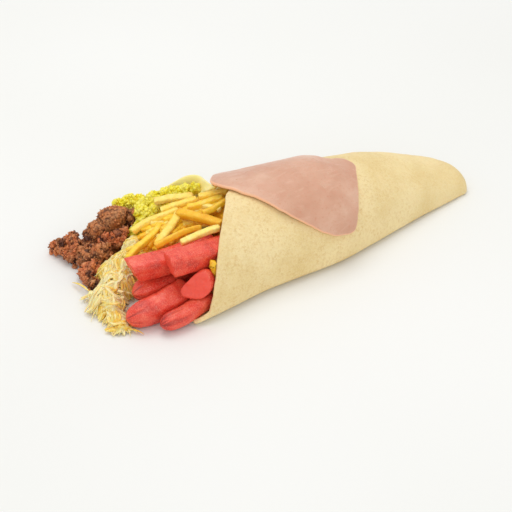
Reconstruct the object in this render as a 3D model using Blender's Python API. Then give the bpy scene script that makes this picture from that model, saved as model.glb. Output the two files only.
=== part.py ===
# A filled flour tortilla, folded shut at one end and open at the other, with ham laid over it.
# Lengths below are millimetres in the wrap's own layout: +X runs from the open mouth to the
# closed end, +Y is the far side and z = 0 is the surface that it rests on.
import math
import random

import bmesh
import bpy
import numpy as np
from mathutils import Matrix, Vector
from mathutils.bvhtree import BVHTree

MM = 0.001
LAYOUT_MIDDLE = (42.7, 40.4)   # the layout point that becomes the part's origin
GAP = 0.4                      # clearance between neighbouring pieces

# Tortilla: the wrap's outer section at stations along its length
TORTILLA_THICK = 2.4
#            x   near edge  ridge  far edge  height
STATIONS = (
    (-62.0, -30.0, 22.0, 98.0, 56.0),
    (-30.0, -25.0, 26.0, 96.0, 58.5),
    (0.0, -20.0, 29.0, 86.0, 58.6),
    (30.0, -18.0, 29.5, 79.0, 58.4),
    (60.0, -16.0, 30.0, 75.0, 57.6),
    (90.0, -9.0, 35.0, 75.0, 51.0),
    (120.0, -1.0, 41.0, 78.0, 43.0),
    (150.0, 7.0, 43.0, 76.0, 33.0),
    (172.0, 12.0, 42.0, 70.0, 25.0),
    (188.0, 16.0, 39.0, 61.0, 19.0),
    (197.0, 19.0, 36.0, 53.0, 14.0),
    (202.0, 26.0, 34.0, 44.0, 8.0),
)
BASE_FOLD = 0.12               # height of the fold at the base, as a share of the height
BASE_SQUARE = 0.45             # how square the base turns in under the fold
BASE_DROP = 1.5
BASE_CURVE = 0.8
# Angle round the section (0 near side, 90 ridge, 180 far side) and where the mouth's edge is
MOUTH_EDGE = (
    (-60.0, -61.0), (-25.0, -59.0), (0.0, -50.0), (20.0, -44.0), (42.0, -35.0), (63.0, -23.0),
    (78.0, -13.0), (92.0, -3.0), (96.0, 5.0), (102.0, 12.0), (118.0, 15.0), (140.0, 8.0),
    (160.0, -8.0), (180.0, -34.0), (210.0, -50.0), (255.0, -58.0), (300.0, -61.0),
)
MOUTH_START = -60.0            # the section angle where the mouth's table starts
RIM_ROUND = 0.7                # how far the mouth's edge bulges
TIP_X = 202.0
INNER_POLE = (36.0, 6.0)       # y and z of the closed end's middle, inside and outside
OUTER_POLE = (35.0, 4.5)
ROUND_STEPS = 38
LENGTH_STEPS = 14
CROWDING = 1.25                # gathers the rows toward the closed end

# Ham: corners of the slice on the unrolled wrap, as x and distance down from the ridge
HAM_THICK = 2.6
HAM_CORNERS = ((-14.0, -14.0), (-2.0, 5.0), (20.0, 31.0), (50.0, 56.0), (73.0, 59.0),
               (84.0, 32.0), (97.0, 9.0), (91.0, 0.0), (79.0, -2.0), (70.0, -18.0),
               (60.0, -34.0), (2.0, -36.0))
HAM_CORNER_ROUND = 9.0
HAM_OUTLINE = 34               # points round the slice
HAM_SHARES = (1.0, 0.86, 0.66, 0.46, 0.24)
HAM_LIFT = 0.7                 # how far the slice stands off the skin of the wrap
HAM_EDGE = 1.008               # share of the outline where the cut edge bulges

# Cheese: points along the slice's upper edge and along its foot
CHEESE_THICK = 2.0
CHEESE_TOP = ((-36.0, 92.0, 29.0), (-19.0, 87.0, 39.0), (-11.0, 82.0, 44.5), (-5.0, 75.0, 46.5),
              (-3.5, 65.0, 46.5), (-2.0, 54.0, 46.5))
CHEESE_FOOT = ((-40.0, 82.0, 4.0), (-28.0, 81.5, 4.0), (-18.0, 80.5, 4.0), (-12.5, 78.5, 12.0),
               (-10.0, 70.5, 30.0), (-8.0, 57.5, 44.0))
CHEESE_COLUMNS = 12
CHEESE_ROWS = 6

# Sausages: points along each one, its radius, the way its cut end faces, how square its
# section is (2 is round) and how far the section is rolled
SAUSAGES = {
    "sausage_1": dict(path=((-68, -4.5, 39.5), (-50, -3.5, 38), (-33, -1.5, 36), (-19, 2, 34)),
                      radius=8.5, cut=(-1.0, 0.06, -0.19), square=3.4, roll=0.16),
    "sausage_2": dict(path=((-87, 14, 29.8), (-62, 11.5, 30.2), (-40, 13.5, 30), (-22, 17, 29)),
                      radius=8.3, cut=(-0.94, 0.04, -0.36), square=3.4, roll=0.1),
    "sausage_3": dict(path=((-89, 10.5, 12.5), (-65, 12.8, 13), (-46, 16, 12.8), (-24, 19, 12)),
                      radius=8.2, cut=None, square=2.9, roll=0.35),
    "sausage_4": dict(path=((-54.5, -17, 24.2), (-49, -14.5, 24.6), (-43, -10.5, 24.8)),
                      radius=7.8, cut=(-0.6, -1.0, 0.55), square=2.3, roll=0.5),
    "sausage_5": dict(path=((-102.5, -8, 9.2), (-80, -7.2, 9.4), (-64, -4.8, 11.6),
                            (-52, -1.5, 12.2)),
                      radius=9.0, cut=None, square=2.7, roll=0.3),
    "sausage_6": dict(path=((-85, -23.0, 7.4), (-66, -21.6, 8.8), (-52, -17.0, 9.9),
                            (-42, -14.5, 9.9)),
                      radius=6.2, cut=None, square=2.3, roll=0.2),
}
SAUSAGE_SIDES = 16
SAUSAGE_RINGS = 8
SAUSAGE_CROWDING = 1.3         # gathers the rings toward the hidden end of a cut sausage
SAUSAGE_TIP = 1.3              # length of the round visible end, in radii
SAUSAGE_TIP_SIZE = 0.28        # size of the first and last ring, in radii

# Filling core under the fries: x, near, ridge, far, height, then how near the wrap it runs
CORE_STATIONS = (
    (-60.0, 30.0, 42.0, 54.0, 25.0),
    (-48.0, 26.5, 42.0, 60.0, 33.0),
    (-30.0, 28.5, 43.0, 60.5, 39.0),
    (-16.5, 29.0, 44.0, 61.0, 43.0),
    (-12.5, -15.0, 30.0, 61.0, 43.5),
    (-3.0, -16.5, 29.0, 62.0, 45.0),
)
CORE_INSIDE_X = (8.0, 34.0, 70.0, 105.0, 140.0, 168.0, 186.0)
CORE_WALL = 3.4
CORE_STEPS = 20                # points round a core's section
FLOOR = 3.0                    # how high the filling stands on the tortilla below it

# A piece that crosses its neighbours is lifted by this much, a few times at most
LIFT = 0.9
STICK_LIFTS = 6
LUMP_LIFTS = 3

# Fries that stand out, as both ends and thickness
FRY_THICK = 5.0
STICK_END = 0.86               # size of a fry's or shred's ends against its middle
STICK_SEGMENTS = 3
SHOWN_FRIES = (
    ((-67, 56, 29.5), (-34, 50, 40.5), 5.2),
    ((-83, 29, 28.5), (-50, 47, 35), 5.0),
    ((-62, 26, 35), (-37, 45, 41), 5.6),
    ((-43, 69, 39.5), (-21, 53, 46.5), 5.4),
    ((-44, 57, 39), (-20, 49, 45.5), 4.6),
    ((-30, 44, 44), (-5, 38, 48.5), 5.2),
    ((-25, 30, 46), (-5, 31, 50), 5.0),
    ((-37, 44, 42.5), (-20, 11, 46.5), 6.0),
    ((-66, 21, 38.0), (-32, 20, 42.5), 5.0),
    ((-52, 10, 42.5), (-24, 7.5, 47.0), 4.4),
    ((-18, 50, 46), (2, 43, 49.5), 6.0),
    ((-20, 40, 45), (-13, 27, 47), 4.0),
)
# The other fries lie over the core: range of x, section angle, heading, half length and rise
NEARLY_UP = Vector((0.013, 0.021, 1.0))   # a ray that misses edges straight above
FRIES_BY_RULE = dict(count=18, x=(-58.0, -6.0), angle=(50.0, 135.0), heading=(-55.0, 40.0),
                     half=(12.0, 19.0), rise=(0.05, 0.3), stand=0.8, sag=(-1.0, 1.5),
                     roll=(-0.5, 0.5))
SHOWN_FRY_SAG = (-0.8, 1.2)
SHOWN_FRY_ROLL = (-0.4, 0.4)
FRY_SEED = 7
EVEN_STEP = 0.618              # spreads a count evenly round a range

# Avocado: stations like the core's, the lumps over it and those behind the large beef chunk
AVOCADO_STATIONS = (
    (-60.0, 64.5, 70.0, 76.5, 20.0),
    (-52.5, 63.5, 71.5, 78.5, 28.0),
    (-45.0, 63.5, 72.0, 79.0, 33.0),
    (-37.5, 63.0, 71.0, 78.5, 36.0),
    (-26.0, 62.5, 71.0, 77.5, 39.0),
    (-18.0, 63.0, 70.0, 76.0, 40.0),
)
AVOCADO_LUMPS = dict(count=4, x=(-60.0, -19.0), angle=(40.0, 140.0), size=(4.0, 6.0), flat=0.8)
SHOWN_LUMPS = (
    ((-44.5, 83.0, 28.0), 6.5),
    ((-45.0, 91.5, 26.5), 6.0),
    ((-49.5, 98.5, 24.5), 6.0),
    ((-55.5, 101.5, 21.5), 5.8),
    ((-55.0, 103.0, 11.0), 7.0),
    ((-38.5, 80.0, 34.0), 5.6),
    ((-30.5, 77.0, 36.5), 5.2),
    ((-24.0, 75.0, 37.8), 4.6),
    ((-17.5, 73.0, 39.0), 4.0),
)
AVOCADO_SEED = 21

# Beef: the lumps that make up each chunk, as centre and half sizes, and its turn about Z
BEEF = {
    "beef_1": ((((-67.5, 88.0, 22.2), (12.5, 7.4, 9.6)), ((-78.5, 87.0, 17.6), (11.0, 7.2, 7.8))),
               8.0),
    "beef_2": ((((-79.5, 75.0, 14.0), (6.5, 6.0, 6.0)), ((-73.0, 70.5, 16.5), (6.5, 6.0, 6.0)),
                ((-68.0, 72.0, 18.5), (4.0, 4.5, 4.5))), 0.0),
    "beef_3": ((((-104.5, 92.0, 8.0), (8.0, 7.0, 7.7)), ((-109.5, 99.0, 4.6), (4.5, 4.5, 4.3)),
                ((-103.5, 83.5, 6.5), (6.0, 6.5, 6.2)), ((-98.5, 91.0, 8.0), (6.0, 7.0, 7.5)),
                ((-96.5, 96.0, 12.2), (3.0, 3.0, 3.8))), 0.0),
    "beef_4": ((((-91.0, 68.0, 10.0), (8.0, 7.5, 9.0)), ((-97.0, 70.0, 7.5), (7.0, 7.0, 7.2)),
                ((-84.5, 66.0, 11.0), (5.5, 5.0, 7.0)), ((-97.5, 77.5, 8.5), (5.0, 5.0, 6.5))), 0.0),
    "beef_5": ((((-57.5, 80.0, 22.0), (3.2, 3.4, 3.6)), ((-55.5, 81.5, 27.0), (3.0, 3.0, 3.2))),
               0.0),
    "beef_6": ((((-103.0, 53.0, 6.5), (6.0, 6.0, 6.2)), ((-98.5, 57.0, 8.5), (5.5, 5.5, 6.0)),
                ((-104.5, 58.5, 5.0), (4.0, 4.5, 4.6))), 0.0),
    "beef_7": ((((-103.8, 45.0, 3.6), (4.0, 3.0, 3.2)), ((-100.0, 43.0, 4.0), (4.0, 3.0, 3.6))),
               0.0),
}
BEEF_SEED = 5
# Crumbled beef that fills in below the chunks: low mounds, then loose lumps on them
BEEF_MOUNDS = (
    ((-81.0, 85.0, 0.0), (16.0, 14.0, 13.0)),
    ((-63.0, 88.0, 0.0), (9.0, 10.0, 13.0)),
)
BEEF_CRUMBS = (
    ((-88.5, 84.0, 13.0), 3.4), ((-85.0, 92.5, 12.0), 4.2), ((-77.0, 98.0, 8.5), 4.8),
    ((-67.0, 97.5, 9.0), 4.8), ((-60.5, 83.0, 13.0), 4.4),
    ((-86.0, 76.5, 9.0), 4.2),
)
# Roughness of a lump: depth of the waves over it, how many, and how closely they follow
MASH_CRAG = 0.13
BEEF_CRAG = 0.24
SLAB_CRAG = 0.12
CRAG_WAVES = 7
CRAG_PACE = (2.0, 6.5)
SLAB_SQUARE = 2.8              # how square the largest lumps are (2 is an ellipsoid)
LARGE_LUMP = 10.0              # lumps longer than this get more triangles

# Chicken: low mounds and the shreds on them
CHICKEN_MOUNDS = (
    ((-104.0, 21.0, 0.0), (11.0, 15.0, 12.5)),
    ((-92.0, 31.0, 0.0), (12.0, 11.5, 16.0)),
    ((-80.0, 42.0, 0.0), (12.0, 14.0, 22.0)),
    ((-69.5, 50.0, 0.0), (8.0, 12.5, 25.0)),
    ((-89.5, 47.0, 0.0), (9.0, 9.0, 14.0)),
)
MOUND_LEVELS = (0.0, 0.45, 0.8)
MOUND_STEPS = 12
MOUND_BASE = 0.3
SHOWN_SHREDS = (
    ((-114.0, 58.0, 1.6), (-109.0, 38.0, 4.5)),
    ((-101.5, 37.5, 12.0), (-80.0, 37.0, 23.0)),
    ((-112.0, 9.0, 2.0), (-100.0, 22.0, 13.0)),
    ((-110.5, 2.0, 1.6), (-96.0, 14.0, 8.0)),
)
SHREDS_BY_RULE = dict(count=30, level=(0.15, 0.9), heading=(20.0, 160.0), half=(5.0, 10.0),
                      rise=(-0.25, 0.25), stand=0.8, sag=(0.0, 1.5), roll=(-0.6, 0.6))
SHOWN_SHRED_SAG = 1.5
SHRED_WIDTH = 3.0
SHRED_THICK = 1.5
CHICKEN_SEED = 12

# Surface finishes: base colour, roughness
FINISHES = {
    "tortilla": ((0.82, 0.67, 0.40), 0.72),
    "ham": ((0.70, 0.40, 0.34), 0.42),
    "cheese": ((0.84, 0.68, 0.22), 0.45),
    "sausage": ((0.70, 0.10, 0.08), 0.40),
    "fries": ((0.80, 0.45, 0.06), 0.55),
    "avocado": ((0.74, 0.60, 0.06), 0.50),
    "beef": ((0.28, 0.12, 0.06), 0.62),
    "chicken": ((0.80, 0.58, 0.20), 0.60),
}


def clear_objects():
    for obj in list(bpy.data.objects):
        bpy.data.objects.remove(obj, do_unlink=True)


def finish(kind):
    material = bpy.data.materials.get(kind) or bpy.data.materials.new(kind)
    material.use_nodes = True
    shader = material.node_tree.nodes["Principled BSDF"]
    colour, roughness = FINISHES[kind]
    shader.inputs["Base Color"].default_value = (*colour, 1.0)
    shader.inputs["Roughness"].default_value = roughness
    shader.inputs["Metallic"].default_value = 0.0
    return material


def in_part(point):
    """Layout millimetres to the part's metres."""
    x, y, z = point
    return Vector(((x - LAYOUT_MIDDLE[0]) * MM, (y - LAYOUT_MIDDLE[1]) * MM, z * MM))


def new_object(name, points, faces, kind):
    mesh = bpy.data.meshes.new(name)
    mesh.from_pydata([in_part(point) for point in points], [], faces)
    obj = bpy.data.objects.new(name, mesh)
    bpy.context.scene.collection.objects.link(obj)
    tidy(obj)
    mesh.materials.append(finish(kind))
    return obj


def tidy(obj):
    """Outward faces and smooth shading with sharp corners."""
    work = bmesh.new()
    work.from_mesh(obj.data)
    bmesh.ops.recalc_face_normals(work, faces=work.faces)
    work.to_mesh(obj.data)
    work.free()
    obj.data.shade_smooth()
    obj.data.set_sharp_from_angle(angle=math.radians(50.0))


def loft(rings, start=None, end=None):
    """Points and faces of a closed skin over rings; start and end are poles, or flat caps."""
    count = len(rings[0])
    points = [point for ring in rings for point in ring]
    faces = []
    for row in range(len(rings) - 1):
        for step in range(count):
            after = (step + 1) % count
            low = row * count
            high = low + count
            faces.append((low + step, low + after, high + after, high + step))
    last = (len(rings) - 1) * count
    for pole, base, turn in ((start, 0, -1), (end, last, 1)):
        ring = [base + step for step in range(count)][::turn]
        if pole is None:
            faces.append(ring)
            continue
        points.append(pole)
        tip = len(points) - 1
        faces.extend((ring[step], ring[(step + 1) % count], tip) for step in range(count))
    return points, faces


def smooth_through(stations, x):
    """The other columns of a station table at x, by a cubic through the stations."""
    table = np.array(stations, float)
    xs = table[:, 0]
    x = min(max(x, xs[0]), xs[-1])
    i = int(min(max(np.searchsorted(xs, x) - 1, 0), len(xs) - 2))
    slopes = np.gradient(table[:, 1:], xs, axis=0)
    span = xs[i + 1] - xs[i]
    t = (x - xs[i]) / span
    return ((2 * t**3 - 3 * t**2 + 1) * table[i, 1:] + (t**3 - 2 * t**2 + t) * span * slopes[i]
            + (3 * t**2 - 2 * t**3) * table[i + 1, 1:] + (t**3 - t**2) * span * slopes[i + 1])


def along(path, t):
    """A point on the smooth curve through path, t from 0 to 1."""
    marks = np.linspace(0.0, 1.0, len(path))
    return smooth_through([(mark, *point) for mark, point in zip(marks, path)], t)


def section_point(near, ridge, far, height, angle, low=0.0):
    """A point of a domed section with a flat base: angle 0 near, 90 ridge, 180 far, 270 base."""
    co = math.cos(math.radians(angle))
    si = math.sin(math.radians(angle))
    reach = ridge - near if co > 0 else far - ridge
    fold = low + BASE_FOLD * (height - low)
    if si >= 0:
        return ridge - reach * co, fold + (height - fold) * si
    squared = math.copysign(abs(co) ** BASE_SQUARE, co)
    drop = (fold - low + BASE_DROP) * abs(si) ** BASE_CURVE
    return ridge - reach * squared, max(low, fold - drop)


def wrap_point(x, angle, inset=0.0):
    near, ridge, far, height = smooth_through(STATIONS, x)
    inset_across = min(inset, 0.4 * (far - near))
    y, z = section_point(near + inset_across, ridge, far - inset_across,
                         max(height - inset, inset + 0.5), angle, low=inset)
    return np.array((x, y, z))


def wrap_normal(x, angle):
    step = 0.5
    along_x = wrap_point(x + step, angle) - wrap_point(x - step, angle)
    round_it = wrap_point(x, angle + step) - wrap_point(x, angle - step)
    normal = np.cross(along_x, round_it)
    return normal / np.linalg.norm(normal)


def angle_down(x, distance):
    """The section angle at a distance from the ridge over the skin, positive to the near side."""
    angles = np.arange(0.0, 181.0, 3.0)
    skin = np.array([wrap_point(x, angle) for angle in angles])
    run = np.concatenate(([0.0], np.cumsum(np.linalg.norm(np.diff(skin, axis=0), axis=1))))
    run = np.interp(90.0, angles, run) - run
    return float(np.interp(-distance, -run, angles))


def mouth_edge(angle):
    while angle > MOUTH_START + 360.0:
        angle -= 360.0
    return float(smooth_through(MOUTH_EDGE, angle)[0])


def make_tortilla():
    angles = [MOUTH_START + 360.0 * step / ROUND_STEPS for step in range(ROUND_STEPS)]

    def ring(share, inset, tip):
        places = []
        for angle in angles:
            edge = mouth_edge(angle)
            places.append(wrap_point(edge + (tip - edge) * share, angle, inset))
        return places

    shares = [1.0 - (1.0 - step / LENGTH_STEPS) ** CROWDING for step in range(LENGTH_STEPS)]
    inner_tip = TIP_X - 2.0 * TORTILLA_THICK
    inner = [ring(share, TORTILLA_THICK, inner_tip) for share in reversed(shares)]
    rim = [place - np.array((RIM_ROUND, 0.0, 0.0)) for place in ring(0.0, TORTILLA_THICK / 2, TIP_X)]
    outer = [ring(share, 0.0, TIP_X) for share in shares]
    points, faces = loft(inner + [rim] + outer, (inner_tip, *INNER_POLE),
                         (TIP_X + RIM_ROUND, *OUTER_POLE))
    return new_object("tortilla", points, faces, "tortilla")


def rolled(side, up, roll):
    """The side and up directions of a section turned about the way ahead."""
    return (side * math.cos(roll) + up * math.sin(roll),
            up * math.cos(roll) - side * math.sin(roll))


def rounded_outline(corners, radius, steps=4):
    """The corners joined by straight edges, each corner an arc-like curve."""
    outline = []
    count = len(corners)
    for index in range(count):
        here = np.array(corners[index])
        before = np.array(corners[index - 1]) - here
        after = np.array(corners[(index + 1) % count]) - here
        cut = min(radius, 0.45 * np.linalg.norm(before), 0.45 * np.linalg.norm(after))
        a = here + before / np.linalg.norm(before) * cut
        b = here + after / np.linalg.norm(after) * cut
        for step in range(steps + 1):
            t = step / steps
            outline.append((1 - t) ** 2 * a + 2 * t * (1 - t) * here + t**2 * b)
    return outline


def even_outline(outline, count):
    """The closed outline resampled at equal steps."""
    ring = np.array(list(outline) + [outline[0]])
    run = np.concatenate(([0.0], np.cumsum(np.linalg.norm(np.diff(ring, axis=0), axis=1))))
    marks = np.linspace(0.0, run[-1], count, endpoint=False)
    return np.column_stack([np.interp(marks, run, ring[:, axis]) for axis in range(2)])


def make_ham():
    outline = even_outline(rounded_outline(HAM_CORNERS, HAM_CORNER_ROUND), HAM_OUTLINE)
    middle = outline.mean(axis=0)

    def lay(flat, lift):
        angle = angle_down(flat[0], flat[1])
        return wrap_point(flat[0], angle) + wrap_normal(flat[0], angle) * lift

    def ring(share, lift):
        return [lay(middle + (place - middle) * share, lift) for place in outline]

    top = [ring(share, HAM_LIFT + HAM_THICK) for share in reversed(HAM_SHARES)]
    edge = [ring(HAM_EDGE, HAM_LIFT + HAM_THICK / 2)]
    under = [ring(share, HAM_LIFT) for share in HAM_SHARES]
    crown = lay(middle, HAM_LIFT + HAM_THICK)
    points, faces = loft(top + edge + under, crown, lay(middle, HAM_LIFT))
    return new_object("ham", points, faces, "ham")


def make_cheese():
    columns, rows = CHEESE_COLUMNS, CHEESE_ROWS
    middle = []
    for row in range(rows + 1):
        line = []
        for column in range(columns + 1):
            top = along(CHEESE_TOP, column / columns)
            foot = along(CHEESE_FOOT, column / columns)
            drop = row / rows
            line.append(top + (foot - top) * drop)
        middle.append(line)
    middle = np.array(middle)
    across = np.gradient(middle, axis=1)
    down = np.gradient(middle, axis=0)
    normals = np.cross(across, down)
    normals /= np.linalg.norm(normals, axis=2, keepdims=True)
    front = middle + normals * CHEESE_THICK / 2
    back = middle - normals * CHEESE_THICK / 2

    def border(sheet):
        return (list(sheet[0, :-1]) + list(sheet[:-1, -1]) + list(sheet[-1, :0:-1])
                + list(sheet[:0:-1, 0]))

    points = []
    faces = []
    for sheet in (front, back):
        base = len(points)
        points.extend(sheet.reshape(-1, 3))
        width = columns + 1
        for row in range(rows):
            for column in range(columns):
                corner = base + row * width + column
                faces.append((corner, corner + 1, corner + width + 1, corner + width))
    index = np.arange((rows + 1) * (columns + 1)).reshape(rows + 1, columns + 1)
    ring = border(index)
    offset = (rows + 1) * (columns + 1)
    for step, here in enumerate(ring):
        after = ring[(step + 1) % len(ring)]
        faces.append((int(here), int(after), int(after) + offset, int(here) + offset))
    return new_object("cheese", points, faces, "cheese")


def squared_reach(turn, square):
    """Reach of a squarish section at an angle, round about 1 on average."""
    corner = 2.0 ** (0.5 - 1.0 / square)
    reach = (abs(math.cos(turn)) ** square + abs(math.sin(turn)) ** square) ** (-1.0 / square)
    return reach * 2.0 / (1.0 + corner)


def make_sausage(name, path, radius, cut, square, roll):
    """A sausage round a curve: a round end inside the wrap, and a cut or round end outside."""
    length = sum(math.dist(path[i], path[i + 1]) for i in range(len(path) - 1))
    rings = []
    for step in range(SAUSAGE_RINGS + 1):
        eased = step / SAUSAGE_RINGS
        t = eased if cut else 0.5 - 0.5 * math.cos(math.pi * eased)
        t = 1.0 - (1.0 - t) ** SAUSAGE_CROWDING if cut else t
        centre = along(path, t)
        ahead = along(path, min(t + 0.02, 1.0)) - along(path, max(t - 0.02, 0.0))
        ahead /= np.linalg.norm(ahead)
        side = np.cross((0.0, 0.0, 1.0), ahead)
        side /= np.linalg.norm(side)
        up = np.cross(ahead, side)
        side, up = rolled(side, up, roll)
        left = (1.0 - t) * length
        taper = math.sqrt(max(0.0, 1.0 - max(0.0, 1.0 - left / radius) ** 2))
        if not cut:
            into = t * length
            reach = SAUSAGE_TIP * radius
            taper *= math.sqrt(max(0.0, 1.0 - max(0.0, 1.0 - into / reach) ** 2))
        taper = max(taper, SAUSAGE_TIP_SIZE)
        ring = []
        for side_step in range(SAUSAGE_SIDES):
            turn = 2.0 * math.pi * side_step / SAUSAGE_SIDES
            spoke = side * math.cos(turn) + up * math.sin(turn)
            place = centre + spoke * radius * taper * squared_reach(turn, square)
            if cut and step == 0:
                facing = np.array(cut) / np.linalg.norm(cut)
                slip = -np.dot(place - centre, facing) / np.dot(ahead, facing)
                place = place + ahead * slip
            ring.append(place)
        rings.append(ring)
    points, faces = loft(rings)
    return new_object(name, points, faces, "sausage")


def heap_core(name, sections, kind):
    """A lofted core from (x, near, ridge, far, height) sections."""
    angles = [360.0 * step / CORE_STEPS for step in range(CORE_STEPS)]
    rings = []
    for x, near, ridge, far, height, low in sections:
        ring = []
        for angle in angles:
            y, z = section_point(near, ridge, far, height, angle, low=low)
            ring.append((x, y, z))
        rings.append(ring)
    points, faces = loft(rings)
    return new_object(name, points, faces, kind)


def stick(name, start, end, thick, kind, sag=0.0, width=None, roll=0.0):
    """A four-sided stick, such as a fry or a shred, slightly bent along its length."""
    start, end = np.array(start, float), np.array(end, float)
    ahead = (end - start) / np.linalg.norm(end - start)
    side = np.cross((0.0, 0.0, 1.0), ahead)
    side /= np.linalg.norm(side)
    up = np.cross(ahead, side)
    side, up = rolled(side, up, roll)
    wide = width or thick
    rings = []
    for step in range(STICK_SEGMENTS + 1):
        t = step / STICK_SEGMENTS
        centre = start + (end - start) * t + np.array((0.0, 0.0, sag)) * 4.0 * t * (1.0 - t)
        size = STICK_END if step in (0, STICK_SEGMENTS) else 1.0
        rings.append([centre + side * wide / 2 * size * a + up * thick / 2 * size * b
                      for a, b in ((1, 1), (-1, 1), (-1, -1), (1, -1))])
    points, faces = loft(rings)
    return new_object(name, points, faces, kind)


def tree_of(objects, grow=GAP):
    """One search tree over objects, each grown by the clearance."""
    points = []
    faces = []
    for obj in objects:
        base = len(points)
        for vertex in obj.data.vertices:
            points.append(vertex.co + vertex.normal * grow * MM)
        faces.extend([base + corner for corner in face.vertices] for face in obj.data.polygons)
    return BVHTree.FromPolygons(points, faces)


def inside(tree, point):
    """Whether a point is within the closed skins of a tree, by counting faces above it."""
    hits = 0
    origin = Vector(point)
    while True:
        hit = tree.ray_cast(origin, NEARLY_UP)
        if hit[0] is None:
            return hits % 2 == 1
        hits += 1
        origin = hit[0] + NEARLY_UP * 1e-6


def crosses(piece, tree):
    own = BVHTree.FromPolygons([vertex.co for vertex in piece.data.vertices],
                               [tuple(face.vertices) for face in piece.data.polygons])
    if own.overlap(tree):
        return True
    return any(inside(tree, vertex.co) for vertex in list(piece.data.vertices)[:1])


def place_clear(piece, tree, lifts=STICK_LIFTS):
    """Lifts a piece out of its neighbours, or removes it when that takes too much."""
    for _ in range(lifts):
        if not crosses(piece, tree) and min(vertex.co.z for vertex in piece.data.vertices) > 0:
            return piece
        piece.data.transform(Matrix.Translation((0.0, 0.0, LIFT * MM)))
    bpy.data.objects.remove(piece, do_unlink=True)
    return None


def apply_modifiers(obj):
    bpy.context.view_layer.update()
    shown = obj.evaluated_get(bpy.context.evaluated_depsgraph_get())
    shape = bpy.data.meshes.new_from_object(shown)
    obj.modifiers.clear()
    obj.data = shape


def fuse(core, pieces):
    """Unites the pieces with the core in one Boolean, then keeps the largest body."""
    group = bpy.data.collections.new(core.name + "_pieces")
    bpy.context.scene.collection.children.link(group)
    for piece in pieces:
        bpy.context.scene.collection.objects.unlink(piece)
        group.objects.link(piece)
    union = core.modifiers.new("union", "BOOLEAN")
    union.operation = "UNION"
    union.operand_type = "COLLECTION"
    union.collection = group
    union.solver = "EXACT"
    apply_modifiers(core)
    for piece in list(group.objects):
        bpy.data.objects.remove(piece, do_unlink=True)
    bpy.data.collections.remove(group)
    keep_largest_body(core)
    tidy(core)
    return core


def keep_largest_body(obj):
    work = bmesh.new()
    work.from_mesh(obj.data)
    work.verts.ensure_lookup_table()
    seen = set()
    bodies = []
    for vertex in work.verts:
        if vertex.index in seen:
            continue
        body = []
        stack = [vertex]
        seen.add(vertex.index)
        while stack:
            here = stack.pop()
            body.append(here)
            for edge in here.link_edges:
                other = edge.other_vert(here)
                if other.index not in seen:
                    seen.add(other.index)
                    stack.append(other)
        bodies.append(body)
    bodies.sort(key=len, reverse=True)
    for body in bodies[1:]:
        bmesh.ops.delete(work, geom=body, context="VERTS")
    work.to_mesh(obj.data)
    work.free()


def core_sections():
    sections = [(*station, FLOOR) for station in CORE_STATIONS]
    for x in CORE_INSIDE_X:
        near, ridge, far, height = smooth_through(STATIONS, x)
        sections.append((x, near + CORE_WALL, ridge, far - CORE_WALL, height - CORE_WALL, FLOOR))
    return sections


def spread(index, limits):
    """One value of an even spread over a range, jumping about from one index to the next."""
    return limits[0] + (limits[1] - limits[0]) * ((index * EVEN_STEP) % 1.0)


def make_fries(core, neighbours):
    tree = tree_of(neighbours)
    draw = random.Random(FRY_SEED)
    pieces = []
    for index, (start, end, thick) in enumerate(SHOWN_FRIES):
        pieces.append(stick(f"fry_{index}", start, end, thick, "fries",
                            sag=draw.uniform(*SHOWN_FRY_SAG), roll=draw.uniform(*SHOWN_FRY_ROLL)))
    rule = FRIES_BY_RULE
    for index in range(rule["count"]):
        share = (index + 0.5) / rule["count"]
        x = rule["x"][0] + (rule["x"][1] - rule["x"][0]) * share
        near, ridge, far, height = smooth_through(CORE_STATIONS[:4], x)
        y, z = section_point(near, ridge, far, height, spread(index, rule["angle"]))
        heading = math.radians(draw.uniform(*rule["heading"]))
        half = draw.uniform(*rule["half"])
        rise = draw.uniform(*rule["rise"])
        step = np.array((math.cos(heading), math.sin(heading), rise)) * half
        middle = np.array((x, y, z + rule["stand"]))
        pieces.append(stick(f"fry_more_{index}", middle - step, middle + step, FRY_THICK, "fries",
                            sag=draw.uniform(*rule["sag"]), roll=draw.uniform(*rule["roll"])))
    kept = [piece for piece in pieces if place_clear(piece, tree)]
    return fuse(core, kept)


def make_avocado(core, neighbours):
    tree = tree_of(neighbours)
    draw = random.Random(AVOCADO_SEED)
    lumps = []
    for index, (centre, size) in enumerate(SHOWN_LUMPS):
        lumps.append(chunk(f"back_lump_{index}", centre, (size, size, size), 0.0, "avocado",
                           2, MASH_CRAG, index))
    rule = AVOCADO_LUMPS
    for index in range(rule["count"]):
        share = (index + 0.5) / rule["count"]
        x = rule["x"][0] + (rule["x"][1] - rule["x"][0]) * share
        near, ridge, far, height = smooth_through(AVOCADO_STATIONS, x)
        y, z = section_point(near, ridge, far, height, spread(index, rule["angle"]))
        size = draw.uniform(*rule["size"])
        lumps.append(chunk(f"lump_{index}", (x, y, z), (size, size, size * rule["flat"]), 0.0,
                           "avocado", 2, MASH_CRAG, index))
    kept = [piece for piece in lumps if place_clear(piece, tree, LUMP_LIFTS)]
    return fuse(core, kept)


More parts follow.
